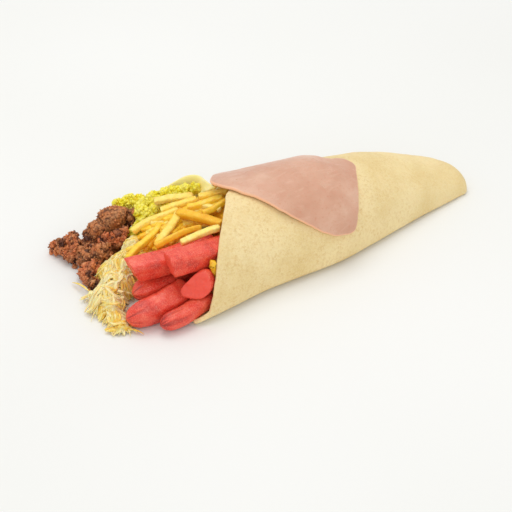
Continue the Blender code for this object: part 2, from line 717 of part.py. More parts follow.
def chunk(name, centre, half, turn, kind, detail, crag, seed, square=2.0):
    """A rough lump: a ball of triangles pushed in and out, and flat at its base."""
    work = bmesh.new()
    bmesh.ops.create_icosphere(work, subdivisions=detail, radius=1.0)
    draw = random.Random(seed)
    waves = []
    for _ in range(CRAG_WAVES):
        way = Vector((draw.uniform(-1, 1), draw.uniform(-1, 1), draw.uniform(-1, 1))).normalized()
        waves.append((way, draw.uniform(*CRAG_PACE), draw.uniform(0.0, math.tau)))
    spin = Matrix.Rotation(math.radians(turn), 3, "Z")
    points = []
    for vertex in work.verts:
        push = sum(math.sin(vertex.co.dot(way) * pace + start) for way, pace, start in waves)
        boxy = sum(abs(side) ** square for side in vertex.co) ** (-1.0 / square)
        ball = vertex.co * boxy * (1.0 - crag * 0.5 + crag * push / 4.0)
        local = spin @ Vector((ball.x * half[0], ball.y * half[1], ball.z * half[2]))
        points.append((centre[0] + local.x, centre[1] + local.y,
                       max(MOUND_BASE, centre[2] + local.z)))
    faces = [tuple(vertex.index for vertex in face.verts) for face in work.faces]
    work.free()
    return new_object(name, points, faces, kind)


def carve(piece, neighbours):
    """Cuts the piece back where its neighbours lie, each grown by the clearance."""
    for neighbour in neighbours:
        cutter = bpy.data.objects.new("cutter", neighbour.data.copy())
        bpy.context.scene.collection.objects.link(cutter)
        grown = [vertex.co + vertex.normal * GAP * MM for vertex in cutter.data.vertices]
        for vertex, place in zip(cutter.data.vertices, grown):
            vertex.co = place
        cut = piece.modifiers.new("cut", "BOOLEAN")
        cut.operation = "DIFFERENCE"
        cut.object = cutter
        cut.solver = "MANIFOLD"   # EXACT loses most of the crumbs here
        apply_modifiers(piece)
        bpy.data.objects.remove(cutter, do_unlink=True)
    keep_largest_body(piece)
    tidy(piece)
    return piece


def make_beef():
    """The chunks, each cut back a little where the ones before it lie."""
    chunks = []
    for index, (name, (lumps, turn)) in enumerate(BEEF.items()):
        pieces = []
        for step, (centre, half) in enumerate(lumps):
            large = max(half) > LARGE_LUMP
            pieces.append(chunk(name if step == 0 else f"{name}_lump_{step}", centre, half, turn,
                                "beef", 3 if large else 2, SLAB_CRAG if large else BEEF_CRAG,
                                BEEF_SEED + index + 10 * step, SLAB_SQUARE if large else 2.0))
        piece = fuse(pieces[0], pieces[1:]) if len(pieces) > 1 else pieces[0]
        chunks.append(carve(piece, chunks))
    return chunks


def make_beef_crumbs(neighbours):
    mounds = [mound("beef_crumbs" if index == 0 else f"beef_mound_{index}", centre, half, "beef")
              for index, (centre, half) in enumerate(BEEF_MOUNDS)]
    lumps = [chunk(f"crumb_{index}", centre, (size, size, size), 0.0, "beef", 2, BEEF_CRAG, index)
             for index, (centre, size) in enumerate(BEEF_CRUMBS)]
    heap = fuse(mounds[0], mounds[1:] + lumps)
    return carve(heap, neighbours)


def mound(name, centre, half, kind):
    rings = []
    for level in MOUND_LEVELS:
        shrink = math.sqrt(1.0 - level**2)
        rings.append([(centre[0] + half[0] * shrink * math.cos(math.tau * step / MOUND_STEPS),
                       centre[1] + half[1] * shrink * math.sin(math.tau * step / MOUND_STEPS),
                       MOUND_BASE + half[2] * level) for step in range(MOUND_STEPS)])
    top = (centre[0], centre[1], MOUND_BASE + half[2])
    points, faces = loft(rings, None, top)
    return new_object(name, points, faces, kind)


def chicken_mounds():
    mounds = [mound("chicken" if index == 0 else f"mound_{index}", centre, half, "chicken")
              for index, (centre, half) in enumerate(CHICKEN_MOUNDS)]
    return fuse(mounds[0], mounds[1:])


def make_chicken(core, neighbours):
    tree = tree_of(neighbours)
    draw = random.Random(CHICKEN_SEED)
    shreds = []
    for index, (start, end) in enumerate(SHOWN_SHREDS):
        shreds.append(stick(f"shred_{index}", start, end, SHRED_THICK, "chicken",
                            width=SHRED_WIDTH, sag=SHOWN_SHRED_SAG))
    rule = SHREDS_BY_RULE
    for index in range(rule["count"]):
        centre, half = CHICKEN_MOUNDS[index % len(CHICKEN_MOUNDS)]
        turn = spread(index, (0.0, math.tau))
        level = draw.uniform(*rule["level"])
        shrink = math.sqrt(1.0 - level**2)
        middle = np.array((centre[0] + half[0] * shrink * math.cos(turn),
                           centre[1] + half[1] * shrink * math.sin(turn),
                           rule["stand"] + half[2] * level))
        heading = math.radians(draw.uniform(*rule["heading"]))
        half_length = draw.uniform(*rule["half"])
        step = np.array((math.cos(heading), math.sin(heading), draw.uniform(*rule["rise"])))
        shreds.append(stick(f"shred_more_{index}", middle - step * half_length,
                            middle + step * half_length, SHRED_THICK, "chicken",
                            width=SHRED_WIDTH, sag=draw.uniform(*rule["sag"]),
                            roll=draw.uniform(*rule["roll"])))
    kept = [piece for piece in shreds if place_clear(piece, tree)]
    return fuse(core, kept)


def build():
    clear_objects()
    tortilla = make_tortilla()
    ham = make_ham()
    cheese = make_cheese()
    sausages = [make_sausage(name, **shape) for name, shape in SAUSAGES.items()]
    fries = heap_core("fries", core_sections(), "fries")
    avocado = heap_core("avocado", [(*station, FLOOR) for station in AVOCADO_STATIONS], "avocado")
    chicken = chicken_mounds()
    beef = make_beef()
    beef.append(make_beef_crumbs(beef + [tortilla, avocado, chicken]))
    pieces = [tortilla, ham, cheese] + sausages + beef
    make_fries(fries, pieces + [avocado, chicken])
    make_avocado(avocado, pieces + [fries, chicken])
    make_chicken(chicken, pieces + [fries, avocado])


build()
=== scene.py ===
import math
import random
from itertools import product

import bmesh
import bpy
import numpy as np
from mathutils import Matrix, Vector


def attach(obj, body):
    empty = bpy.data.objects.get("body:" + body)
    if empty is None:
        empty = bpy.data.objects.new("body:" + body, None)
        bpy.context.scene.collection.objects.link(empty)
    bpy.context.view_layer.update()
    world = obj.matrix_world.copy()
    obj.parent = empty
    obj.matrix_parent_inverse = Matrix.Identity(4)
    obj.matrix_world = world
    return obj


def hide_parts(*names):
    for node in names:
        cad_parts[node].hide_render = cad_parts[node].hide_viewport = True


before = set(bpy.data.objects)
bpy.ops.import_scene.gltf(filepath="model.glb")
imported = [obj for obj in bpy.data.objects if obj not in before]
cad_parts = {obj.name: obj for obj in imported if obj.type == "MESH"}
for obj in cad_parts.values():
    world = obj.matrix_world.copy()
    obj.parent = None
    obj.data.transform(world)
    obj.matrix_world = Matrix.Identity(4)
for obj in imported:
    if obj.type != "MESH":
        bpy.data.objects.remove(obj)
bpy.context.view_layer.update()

# Lengths in the dictionaries are millimetres, but for the stage's, which are metres. Places are
# in the wrap's own layout: x from the open mouth to the closed end, y to the far side, z up.
# layoutMiddle is the point of it that sits at the origin.
layoutMiddle = np.array((42.7, 40.4, 0.0))
mm = 0.001
evenStep = 0.618   # share of a range from one of a count to the next, which spreads them evenly
coreRelief = {"sink": 0.25, "fine": 0.3, "fineSize": 2.5}   # sink and fine in shares of its bumps
scattered = {"squeeze": (0.65, 1.25), "apart": 50.0, "bumps": 1.6, "overFloor": 0.25}


def inPart(points):
    return (np.asarray(points, float) - layoutMiddle) * mm


# number helpers: lattice noise, cells and curves through stations

def latticeValue(cell, seed):
    key = (cell[..., 0] * 73856093) ^ (cell[..., 1] * 19349663) ^ (cell[..., 2] * 83492791)
    key = (key ^ (seed * 40503 + 977)) & 0x7FFFFFFF
    key = ((key ^ (key >> 13)) * 127413) & 0x7FFFFFFF
    key = ((key ^ (key >> 11)) * 92821) & 0x7FFFFFFF
    return ((key ^ (key >> 15)) & 0xFFFFF) / float(0xFFFFF)   # 0 to 1


def softNoise(points, size, seed=0):
    spot = np.asarray(points, float) / size
    cell = np.floor(spot).astype(np.int64)
    share = spot - cell
    share = share * share * (3.0 - 2.0 * share)
    total = np.zeros(spot.shape[:-1])
    for corner in product((0, 1), repeat=3):
        weight = np.prod(np.where(corner, share, 1.0 - share), axis=-1)
        total += weight * latticeValue(cell + np.array(corner), seed)
    return 2.0 * total - 1.0


def layeredNoise(points, size, seed=0, layers=3):
    return sum(softNoise(points, size / 2.0**step, seed + step) / 2.0**step
               for step in range(layers))


def cellDistance(points, size, seed=0):
    # distance to the nearest of a jittered grid of points, about 0 to 1
    spot = np.asarray(points, float) / size
    cell = np.floor(spot).astype(np.int64)
    nearest = np.full(spot.shape[:-1], 9.0)
    for step in product((-1, 0, 1), repeat=3):
        other = cell + np.array(step)
        seedPoint = other + np.stack([latticeValue(other, seed + axis) for axis in range(3)], -1)
        nearest = np.minimum(nearest, np.linalg.norm(seedPoint - spot, axis=-1))
    return nearest


def smoothThrough(stations, places):
    # the other columns of a station table at each place, by a cubic through the stations
    table = np.array(stations, float)
    marks, columns = table[:, 0], table[:, 1:]
    places = np.clip(np.asarray(places, float), marks[0], marks[-1])
    step = np.clip(np.searchsorted(marks, places) - 1, 0, len(marks) - 2)
    slopes = np.gradient(columns, marks, axis=0)
    span = (marks[step + 1] - marks[step])[..., None]
    t = (places - marks[step])[..., None] / span
    return ((2 * t**3 - 3 * t**2 + 1) * columns[step] + (t**3 - 2 * t**2 + t) * span * slopes[step]
            + (3 * t**2 - 2 * t**3) * columns[step + 1] + (t**3 - t**2) * span * slopes[step + 1])


def along(path, t):
    marks = np.linspace(0.0, 1.0, len(path))
    return smoothThrough([(mark, *point) for mark, point in zip(marks, path)], t)


def spread(index, limits):
    return limits[0] + (limits[1] - limits[0]) * ((index * evenStep) % 1.0)


# mesh helpers

def gridFaces(rows, columns, closed=True):
    # quads of a grid of points, closed round its rows
    row = np.arange(rows - 1)[:, None] * columns
    column = np.arange(columns if closed else columns - 1)[None, :]
    after = (column + 1) % columns
    return np.stack((row + column, row + after, row + columns + after, row + columns + column),
                    axis=-1).reshape(-1, 4)


def pieceFrom(name, points, faces, material, values=None):
    mesh = bpy.data.meshes.new(name)
    mesh.from_pydata(inPart(points).tolist(), [], [tuple(int(i) for i in face) for face in faces])
    for label, numbers in (values or {}).items():
        layer = mesh.attributes.new(label, "FLOAT", "POINT")
        layer.data.foreach_set("value", np.asarray(numbers, np.float32))
    work = bmesh.new()
    work.from_mesh(mesh)
    bmesh.ops.recalc_face_normals(work, faces=work.faces)
    work.to_mesh(mesh)
    work.free()
    mesh.shade_smooth()
    mesh.materials.append(material)
    piece = bpy.data.objects.new(name, mesh)
    bpy.context.scene.collection.objects.link(piece)
    return piece


def settle(piece, slot, *nodes):
    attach(piece, "root")
    if nodes:
        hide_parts(*nodes)
    return piece


class Heap:
    # gathers many small shapes into one mesh, with a number or two per point
    def __init__(self):
        self.points, self.faces, self.values, self.count = [], [], {}, 0

    def add(self, points, faces, **values):
        self.points.append(points)
        self.faces.extend((np.asarray(faces) + self.count).tolist()
                          if isinstance(faces, np.ndarray)
                          else [[corner + self.count for corner in face] for face in faces])
        for label, numbers in values.items():
            numbers = np.broadcast_to(np.asarray(numbers, float), (len(points),))
            self.values.setdefault(label, []).append(numbers)
        self.count += len(points)

    def piece(self, name, material):
        values = {label: np.concatenate(parts) for label, parts in self.values.items()}
        return pieceFrom(name, np.concatenate(self.points), self.faces, material, values)


def loft(rings, start=None, end=None):
    # points and faces of a closed skin over rings, with a pole or a flat cap at each end
    rings = np.asarray(rings, float)
    rows, count = rings.shape[:2]
    points = list(rings.reshape(-1, 3))
    faces = gridFaces(rows, count).tolist()
    for pole, base, turn in ((start, 0, -1), (end, (rows - 1) * count, 1)):
        ring = [base + step for step in range(count)][::turn]
        if pole is None:
            pole = np.mean([points[corner] for corner in ring], axis=0)
        points.append(np.asarray(pole, float))
        faces.extend([ring[step], ring[(step + 1) % count], len(points) - 1]
                     for step in range(count))
    return np.array(points), faces


def roundTurns(count):
    return 2.0 * math.pi * np.arange(count) / count


def boxReach(turn, square):
    # reach of a squarish section with flats at 1; square 2 is a circle
    return (np.abs(np.cos(turn)) ** square + np.abs(np.sin(turn)) ** square) ** (-1.0 / square)


def squaredReach(turn, square):
    # the same with its flats and corners about 1 on average
    return boxReach(turn, square) * 2.0 / (1.0 + 2.0 ** (0.5 - 1.0 / square))


ballCache = {}


def ball(detail):
    if detail not in ballCache:
        work = bmesh.new()
        bmesh.ops.create_icosphere(work, subdivisions=detail, radius=1.0)
        points = np.array([vertex.co for vertex in work.verts])
        faces = np.array([[vertex.index for vertex in face.verts] for face in work.faces])
        work.free()
        ballCache[detail] = (points, faces)
    return ballCache[detail]


def scatter(heap, centres, sizes, seed, detail=2, crag=0.3, **values):
    # rough little lumps, each squeezed and turned its own way
    points, faces = ball(detail)
    draw = np.random.default_rng(seed)
    count = len(centres)
    turns = np.linalg.qr(draw.normal(size=(count, 3, 3)))[0]
    squeeze = draw.uniform(*scattered["squeeze"], size=(count, 1, 3))
    squeeze = squeeze * np.asarray(sizes)[:, None, None]
    shift = vary(draw, scattered["apart"], (count, 1, 3))
    spots = points[None] * scattered["bumps"] + shift
    push = 1.0 + crag * layeredNoise(spots, 1.0, seed, layers=2)
    lumps = (points[None] * push[..., None] * squeeze) @ turns + np.asarray(centres)[:, None]
    keepOver(lumps, scattered["overFloor"])
    steps = (np.arange(count) * len(points))[:, None, None]
    perPoint = {label: np.repeat(np.broadcast_to(numbers, (count,)), len(points))
                for label, numbers in values.items()}
    heap.add(lumps.reshape(-1, 3), (faces[None] + steps).reshape(-1, 3), **perPoint)


def keepOver(points, height):
    points[..., 2] = np.maximum(points[..., 2], height)


def evenBall(count):
    # directions spread evenly over a ball
    step = np.arange(count) + 0.5
    rise = 1.0 - 2.0 * step / count
    turn = math.pi * (1.0 + math.sqrt(5.0)) * step
    flat = np.sqrt(1.0 - rise**2)
    return np.stack((np.cos(turn) * flat, np.sin(turn) * flat, rise), axis=-1)


def vary(draw, reach, count=None):
    # a random number up to the reach either way, or an array of as many as the count
    return draw.uniform(-reach, reach, **({"size": count} if count else {}))


def axesAlong(path, roll=0.0):
    # the ways ahead, to the side and up at each point of a path
    ahead = np.gradient(path, axis=0)
    ahead /= np.linalg.norm(ahead, axis=1, keepdims=True)
    side = np.cross((0.0, 0.0, 1.0), ahead)
    side /= np.maximum(np.linalg.norm(side, axis=1, keepdims=True), 1e-6)
    up = np.cross(ahead, side)
    roll = np.broadcast_to(np.asarray(roll, float), (len(path),))[:, None]
    return ahead, side * np.cos(roll) + up * np.sin(roll), up * np.cos(roll) - side * np.sin(roll)


def spokes(side, up, turn, wide=1.0, tall=1.0):
    # the ways out round a section, at each point of a path
    return (side[:, None] * np.cos(turn)[None, :, None] * wide
            + up[:, None] * np.sin(turn)[None, :, None] * tall)


# materials, built up from noise, masks and coats of colour

def tint(red, green, blue):
    share = np.array((red, green, blue)) / 255.0
    linear = np.where(share <= 0.04045, share / 12.92, ((share + 0.055) / 1.055) ** 2.4)
    return (*linear.tolist(), 1.0)


class Finish:
    # one material, from a piece's finish values. A grain there is the size of its features in
    # millimetres, its detail and its roughness; a band is where a mask starts and is full.
    # Specks are rows of grain, band, share and colour, and bumpDepth is strength and depth
    def __init__(self, name, values):
        self.values = values
        self.material = bpy.data.materials.new(name)
        self.material.use_nodes = True
        self.tree = self.material.node_tree
        self.shader = self.tree.nodes["Principled BSDF"]
        self.setShader(**values["shader"])

    def setShader(self, rough, specular, bleed=None, coat=None):
        sockets = {"Roughness": rough, "Specular IOR Level": specular}
        if bleed:
            weight, radius, depth = bleed
            sockets.update({"Subsurface Weight": weight, "Subsurface Radius": radius,
                            "Subsurface Scale": depth * mm})
        if coat:
            sockets.update(zip(("Coat Weight", "Coat Roughness"), coat))
        for label, value in sockets.items():
            self.shader.inputs[label].default_value = value

    def node(self, kind, inputs=None, **settings):
        node = self.tree.nodes.new("ShaderNode" + kind)
        for label, value in settings.items():
            setattr(node, label, value)
        for label, value in (inputs or {}).items():
            if isinstance(value, bpy.types.NodeSocket):
                self.tree.links.new(value, node.inputs[label])
            else:
                node.inputs[label].default_value = value
        return node

    def place(self):
        return self.node("TexCoord").outputs["Object"]

    def grain(self, size, detail=3.0, rough=0.55, stretch=(1.0, 1.0, 1.0), twist=0.0):
        mapped = self.node("Mapping", {"Vector": self.place(), "Scale": stretch})
        return self.node("TexNoise", {"Vector": mapped.outputs[0], "Scale": 1.0 / (size * mm),
                                      "Detail": detail, "Roughness": rough,
                                      "Distortion": twist}).outputs["Fac"]

    def ofPiece(self, label):
        return self.node("Attribute", attribute_name=label).outputs["Fac"]

    def times(self, first, second):
        return self.node("Math", {0: first, 1: second}, operation="MULTIPLY").outputs[0]

    def plus(self, first, *others):
        for other in others:
            first = self.node("Math", {0: first, 1: other}, operation="ADD").outputs[0]
        return first

    def fade(self, value, low, high, lowTo=0.0, highTo=1.0):
        return self.node("MapRange", {"Value": value, "From Min": low, "From Max": high,
                                      "To Min": lowTo, "To Max": highTo},
                         interpolation_type="SMOOTHSTEP").outputs["Result"]

    def tones(self, value, stops):
        node = self.node("ValToRGB", {"Fac": value})
        band = node.color_ramp
        while len(band.elements) < len(stops):
            band.elements.new(0.5)
        for element, (place, colour) in zip(band.elements, stops):
            element.position = place
            element.color = colour
        return node.outputs["Color"]

    def over(self, colour, coat, mask, share=1.0):
        # a coat over the colour, where the mask is high
        return self.node("Mix", {0: self.times(mask, share), 6: colour, 7: coat},
                         data_type="RGBA").outputs[2]

    def specks(self, colour):
        for grain, band, share, coat in self.values["specks"]:
            colour = self.over(colour, coat, self.fade(self.grain(*grain), *band), share)
        return colour

    def done(self, colour, gloss, band=(0.3, 0.7)):
        bumps = self.plus(*[self.grain(*grain) for grain in self.values["bumps"]])
        strength, depth = self.values["bumpDepth"]
        bump = self.node("Bump", {"Height": bumps, "Strength": strength, "Distance": depth * mm})
        rough = self.fade(gloss, *band, *self.values["rough"])
        for output, label in ((colour, "Base Color"), (rough, "Roughness"),
                              (bump.outputs[0], "Normal")):
            self.tree.links.new(output, self.shader.inputs[label])
        return self.material


# camera, at the photograph's angle

print("camera")
view = {"lookAt": (0.0, 0.0, 20.0), "azimuth": -29.5, "elevation": 35.0, "distance": 900.0,
        "lens": 91.7, "sensor": 36.0, "nearest": 20.0}


def makeCamera():
    turn, rise = math.radians(view["azimuth"]), math.radians(view["elevation"])
    back = Vector((math.sin(turn) * math.cos(rise), -math.cos(turn) * math.cos(rise),
                   math.sin(rise)))
    camera = bpy.data.objects.new("camera", bpy.data.cameras.new("camera"))
    camera.data.lens = view["lens"]
    camera.data.sensor_width = view["sensor"]
    camera.data.clip_start = view["nearest"] * mm
    camera.location = Vector(inPart(view["lookAt"])) + back * view["distance"] * mm
    camera.rotation_euler = back.to_track_quat("Z", "Y").to_euler()
    bpy.context.scene.collection.objects.link(camera)
    bpy.context.scene.camera = camera


makeCamera()

# the wrap: a flour tortilla folded round the filling

print("tortilla")
wrap = {
    "stations": (   # x, near edge, ridge, far edge, height
        (-62.0, -30.0, 22.0, 98.0, 56.0), (-30.0, -25.0, 26.0, 96.0, 58.5),
        (0.0, -20.0, 29.0, 86.0, 58.6), (30.0, -18.0, 29.5, 79.0, 58.4),
        (60.0, -16.0, 30.0, 75.0, 57.6), (90.0, -9.0, 35.0, 75.0, 51.0),
        (120.0, -1.0, 41.0, 78.0, 43.0), (150.0, 7.0, 43.0, 76.0, 33.0),
        (172.0, 12.0, 42.0, 70.0, 25.0), (188.0, 16.0, 39.0, 61.0, 19.0),
        (197.0, 19.0, 36.0, 53.0, 14.0), (202.0, 26.0, 34.0, 44.0, 8.0)),
    "mouth": (      # angle round the section, and x of the mouth's edge there
        (-60.0, -61.0), (-25.0, -59.0), (0.0, -50.0), (20.0, -44.0), (42.0, -35.0),
        (63.0, -23.0), (78.0, -13.0), (92.0, -3.0), (96.0, 5.0), (102.0, 12.0), (118.0, 15.0),
        (140.0, 8.0), (160.0, -8.0), (180.0, -34.0), (210.0, -50.0), (255.0, -58.0),
        (300.0, -61.0)),
    "thickness": 2.4, "baseFold": 0.12, "baseSquare": 0.45, "baseDip": 1.5, "baseRound": 0.8,
    "tip": 202.0, "tipBulge": 0.7, "innerPole": (36.0, 6.0), "outerPole": (35.0, 4.5),
    "lip": 0.9, "lipTurns": (30.0, 60.0, 90.0, 120.0, 150.0),
    "startAngle": -60.0, "roundSteps": 180, "lengthSteps": 108, "crowding": 1.1,
    "waver": 0.45, "waverSize": 9.0, "waverRound": 40.0,   # a hand-made edge isn't even
    "stretch": (0.6, 1.0, 1.0), "wave": 0.55, "waveSize": 24.0, "waveDrop": 0.25,
    "blister": 0.16, "blisterSize": 7.0, "blisterLow": -0.3, "fine": 0.05, "fineSize": 1.6,
    "reliefFrom": 1.0, "reliefFull": 9.0,   # heights over the base
    "finish": {
        "shader": dict(rough=0.62, specular=0.32, bleed=(0.08, (1.0, 0.6, 0.3), 2.0)),
        "cloud": (30.0, 2.0), "tones": ((0.32, tint(230, 204, 142)), (0.62, tint(241, 219, 164))),
        "toast": tint(212, 172, 102), "toastShare": 0.62, "toastGrain": (2.1, 5.0, 0.7),
        "toastBand": (0.40, 0.72), "patchGrain": (9.0, 2.0), "patchBand": (0.30, 0.62, 0.35, 1.0),
        "dot": tint(190, 140, 76), "dotShare": 0.28, "dotGrain": (1.1, 2.0),
        "dotBand": (0.64, 0.74), "fewerBand": (0.02, 0.14, 1.0, 0.45),   # metres, share left
        "specks": (((0.9, 2.0), (0.35, 0.75), 0.16, tint(252, 242, 214)),),
        "rough": (0.55, 0.70), "bumps": ((2.6, 5.0, 0.6), (0.6, 2.0)), "bumpDepth": (0.35, 0.25),
    },
}


def sectionPoint(near, ridge, far, height, angle, low=0.0):
    # a domed section with a flat base: angle 0 near, 90 ridge, 180 far, 270 base
    co, si = np.cos(np.radians(angle)), np.sin(np.radians(angle))
    reach = np.where(co > 0, ridge - near, far - ridge)
    fold = low + wrap["baseFold"] * (height - low)
    squared = np.copysign(np.abs(co) ** wrap["baseSquare"], co)
    y = ridge - reach * np.where(si >= 0, co, squared)
    under = fold - (fold - low + wrap["baseDip"]) * np.abs(si) ** wrap["baseRound"]
    z = np.where(si >= 0, fold + (height - fold) * si, np.maximum(low, under))
    return y, z


def wrapSkin(x, angle, inset=0.0):
    x, angle = np.broadcast_arrays(np.asarray(x, float), np.asarray(angle, float))
    near, ridge, far, height = np.moveaxis(smoothThrough(wrap["stations"], x), -1, 0)
    across = np.minimum(inset, 0.4 * (far - near))
    y, z = sectionPoint(near + across, ridge, far - across,
                        np.maximum(height - inset, inset + 0.5), angle, low=inset)
    return np.stack((x, y, z), axis=-1)


def wrapNormal(x, angle, step=0.5):
    alongX = wrapSkin(x + step, angle) - wrapSkin(x - step, angle)
    roundIt = wrapSkin(x, angle + step) - wrapSkin(x, angle - step)
    normal = np.cross(alongX, roundIt)
    return normal / np.linalg.norm(normal, axis=-1, keepdims=True)


def mouthEdge(angle):
    turned = np.where(angle > wrap["startAngle"] + 360.0, angle - 360.0, angle)
    return smoothThrough(wrap["mouth"], turned)[..., 0]


def wrapRelief(points):
    # soft waves and blisters, gone where the skin lies on its base
    rise = (points[..., 2] - wrap["reliefFrom"]) / (wrap["reliefFull"] - wrap["reliefFrom"])
    long = points * np.array(wrap["stretch"])
    waves = wrap["wave"] * layeredNoise(long, wrap["waveSize"], seed=11, layers=2)
    blisters = np.clip(layeredNoise(points, wrap["blisterSize"], seed=17), wrap["blisterLow"], 1)
    fine = wrap["fine"] * softNoise(points, wrap["fineSize"], seed=23)
    relief = waves - wrap["waveDrop"] + wrap["blister"] * blisters + fine
    return relief * np.clip(rise, 0.0, 1.0)


def wrapMaterial():
    values = wrap["finish"]
    finish = Finish("tortilla", values)
    cloud = finish.grain(*values["cloud"])
    colour = finish.tones(cloud, values["tones"])
    # toasted specks, fewer toward the closed end
    across = finish.node("SeparateXYZ", {0: finish.place()}).outputs[0]
    fewer = finish.fade(across, *values["fewerBand"])
    patch = finish.fade(finish.grain(*values["patchGrain"]), *values["patchBand"])
    speck = finish.fade(finish.grain(*values["toastGrain"]), *values["toastBand"])
    toast = finish.times(finish.times(speck, patch), fewer)
    colour = finish.specks(finish.over(colour, values["toast"], toast, values["toastShare"]))
    dot = finish.times(finish.fade(finish.grain(*values["dotGrain"]), *values["dotBand"]), fewer)
    colour = finish.over(colour, values["dot"], dot, values["dotShare"])
    return finish.done(colour, cloud)


def wrapSheet(edge, angles, inset, tip):
    shares = 1.0 - np.arange(wrap["lengthSteps"]) / wrap["lengthSteps"]
    shares = 1.0 - shares ** wrap["crowding"]
    x = edge[None, :] + (tip - edge[None, :]) * shares[:, None]
    turn = np.broadcast_to(angles, x.shape)
    relief = wrapRelief(wrapSkin(x, turn))
    return wrapSkin(x, turn, inset) + wrapNormal(x, turn) * relief[..., None]


def makeWrap():
    roundSteps = wrap["roundSteps"]
    angles = wrap["startAngle"] + 360.0 * np.arange(roundSteps) / roundSteps
    circle = np.stack((np.cos(np.radians(angles)), np.sin(np.radians(angles)),
                       np.zeros(roundSteps)), axis=-1) * wrap["waverRound"]
    edge = mouthEdge(angles) + wrap["waver"] * layeredNoise(circle, wrap["waverSize"], seed=5)
    innerTip = wrap["tip"] - 2.0 * wrap["thickness"]
    inner = wrapSheet(edge, angles, wrap["thickness"], innerTip)
    outer = wrapSheet(edge, angles, 0.0, wrap["tip"])
    # a rounded lip joins the two faces at the mouth
    middle = (inner[0] + outer[0]) / 2
    half = (outer[0] - inner[0]) / 2
    rims = [middle - half * math.cos(math.radians(turn))
            - np.array((wrap["lip"], 0.0, 0.0)) * math.sin(math.radians(turn))
            for turn in wrap["lipTurns"]]
    rings = np.concatenate((inner[::-1], np.array(rims), outer))
    points, faces = loft(rings, (innerTip, *wrap["innerPole"]),
                         (wrap["tip"] + wrap["tipBulge"], *wrap["outerPole"]))
    keepOver(points, 0.0)
    return pieceFrom("wrapSkin", points, faces, wrapMaterial())


settle(makeWrap(), "tortilla", "tortilla")

# the ham slice, draped over the wrap

print("ham")
ham = {
    "corners": ((-14.0, -14.0), (-2.0, 5.0), (20.0, 31.0), (50.0, 56.0), (73.0, 59.0),
                (84.0, 32.0), (97.0, 9.0), (91.0, 0.0), (79.0, -2.0), (70.0, -18.0),
                (60.0, -34.0), (2.0, -36.0)),
    "cornerRound": 9.0, "thickness": 2.6, "lift": 0.7, "outlineSteps": 240, "rings": 44,
    "innermost": 0.03, "edgeRows": 9, "edgeTurns": (15.0, 165.0), "rindFull": 50.0,
    "waver": 0.5, "waverSize": 8.0, "wave": 0.35, "waveSize": 13.0, "waveDrop": 0.1,
    "waveLimits": (-0.25, 0.5), "dimple": 0.10, "dimpleSize": 3.2,
    "finish": {
        "shader": dict(rough=0.34, specular=0.45, bleed=(0.12, (1.0, 0.35, 0.25), 2.5),
                       coat=(0.18, 0.3)),
        "cloud": (22.0, 3.0), "fibre": (6.0, 5.0, 0.6, (0.35, 1.0, 1.0), 1.2),
        "tones": ((0.30, tint(206, 152, 124)), (0.55, tint(214, 165, 138)),
                  (0.8, tint(226, 184, 158))),
        "pale": tint(226, 184, 158), "paleShare": 0.5, "paleBand": (0.52, 0.72),
        # under is the underside's dark red, a painted shade under the slice
        "rind": tint(246, 190, 150), "under": tint(170, 62, 34),
        "specks": (((1.5, 3.0), (0.58, 0.70), 0.4, tint(204, 130, 98)),),
        "rough": (0.42, 0.27), "bumps": ((6.0, 5.0, 0.6, (0.35, 1.0, 1.0), 1.2), (1.4, 4.0, 0.6)),
        "bumpDepth": (0.22, 0.35),
    },
}


def roundedOutline(corners, radius, steps=6):
    outline = []
    for index, corner in enumerate(corners):
        here = np.array(corner)
        before = np.array(corners[index - 1]) - here
        after = np.array(corners[(index + 1) % len(corners)]) - here
        cut = min(radius, 0.45 * np.linalg.norm(before), 0.45 * np.linalg.norm(after))
        first = here + before / np.linalg.norm(before) * cut
        last = here + after / np.linalg.norm(after) * cut
        for step in range(steps + 1):
            t = step / steps
            outline.append((1 - t) ** 2 * first + 2 * t * (1 - t) * here + t**2 * last)
    return outline


def evenOutline(outline, count):
    ring = np.array(list(outline) + [outline[0]])
    run = np.concatenate(([0.0], np.cumsum(np.linalg.norm(np.diff(ring, axis=0), axis=1))))
    marks = np.linspace(0.0, run[-1], count, endpoint=False)
    return np.column_stack([np.interp(marks, run, ring[:, axis]) for axis in range(2)])


def angleDown(x, distance):
    # section angle at a distance from the ridge over the skin, positive to the near side
    angles = np.arange(0.0, 181.0, 3.0)
    skin = wrapSkin(x[:, None], angles[None, :])
    step = np.linalg.norm(np.diff(skin, axis=1), axis=2)
    run = np.concatenate((np.zeros((len(x), 1)), np.cumsum(step, axis=1)), axis=1)
    run = run[:, [30]] - run
    return np.array([np.interp(-place, -row, angles) for place, row in zip(distance, run)])


def layOnWrap(flat, lift):
    angle = angleDown(flat[:, 0], flat[:, 1])
    return wrapSkin(flat[:, 0], angle) + wrapNormal(flat[:, 0], angle) * lift[:, None]


def hamMaterial():
    values = ham["finish"]
    finish = Finish("ham", values)
    fibre = finish.grain(*values["fibre"])
    colour = finish.tones(finish.grain(*values["cloud"]), values["tones"])
    pale = finish.fade(fibre, *values["paleBand"])
    colour = finish.specks(finish.over(colour, values["pale"], pale, values["paleShare"]))
    # the underside gets a painted shade of dark red
    for label in ("rind", "under"):
        colour = finish.over(colour, values[label], finish.ofPiece(label))
    return finish.done(colour, fibre)


def withZero(flat):
    return np.column_stack((flat, np.zeros(len(flat))))


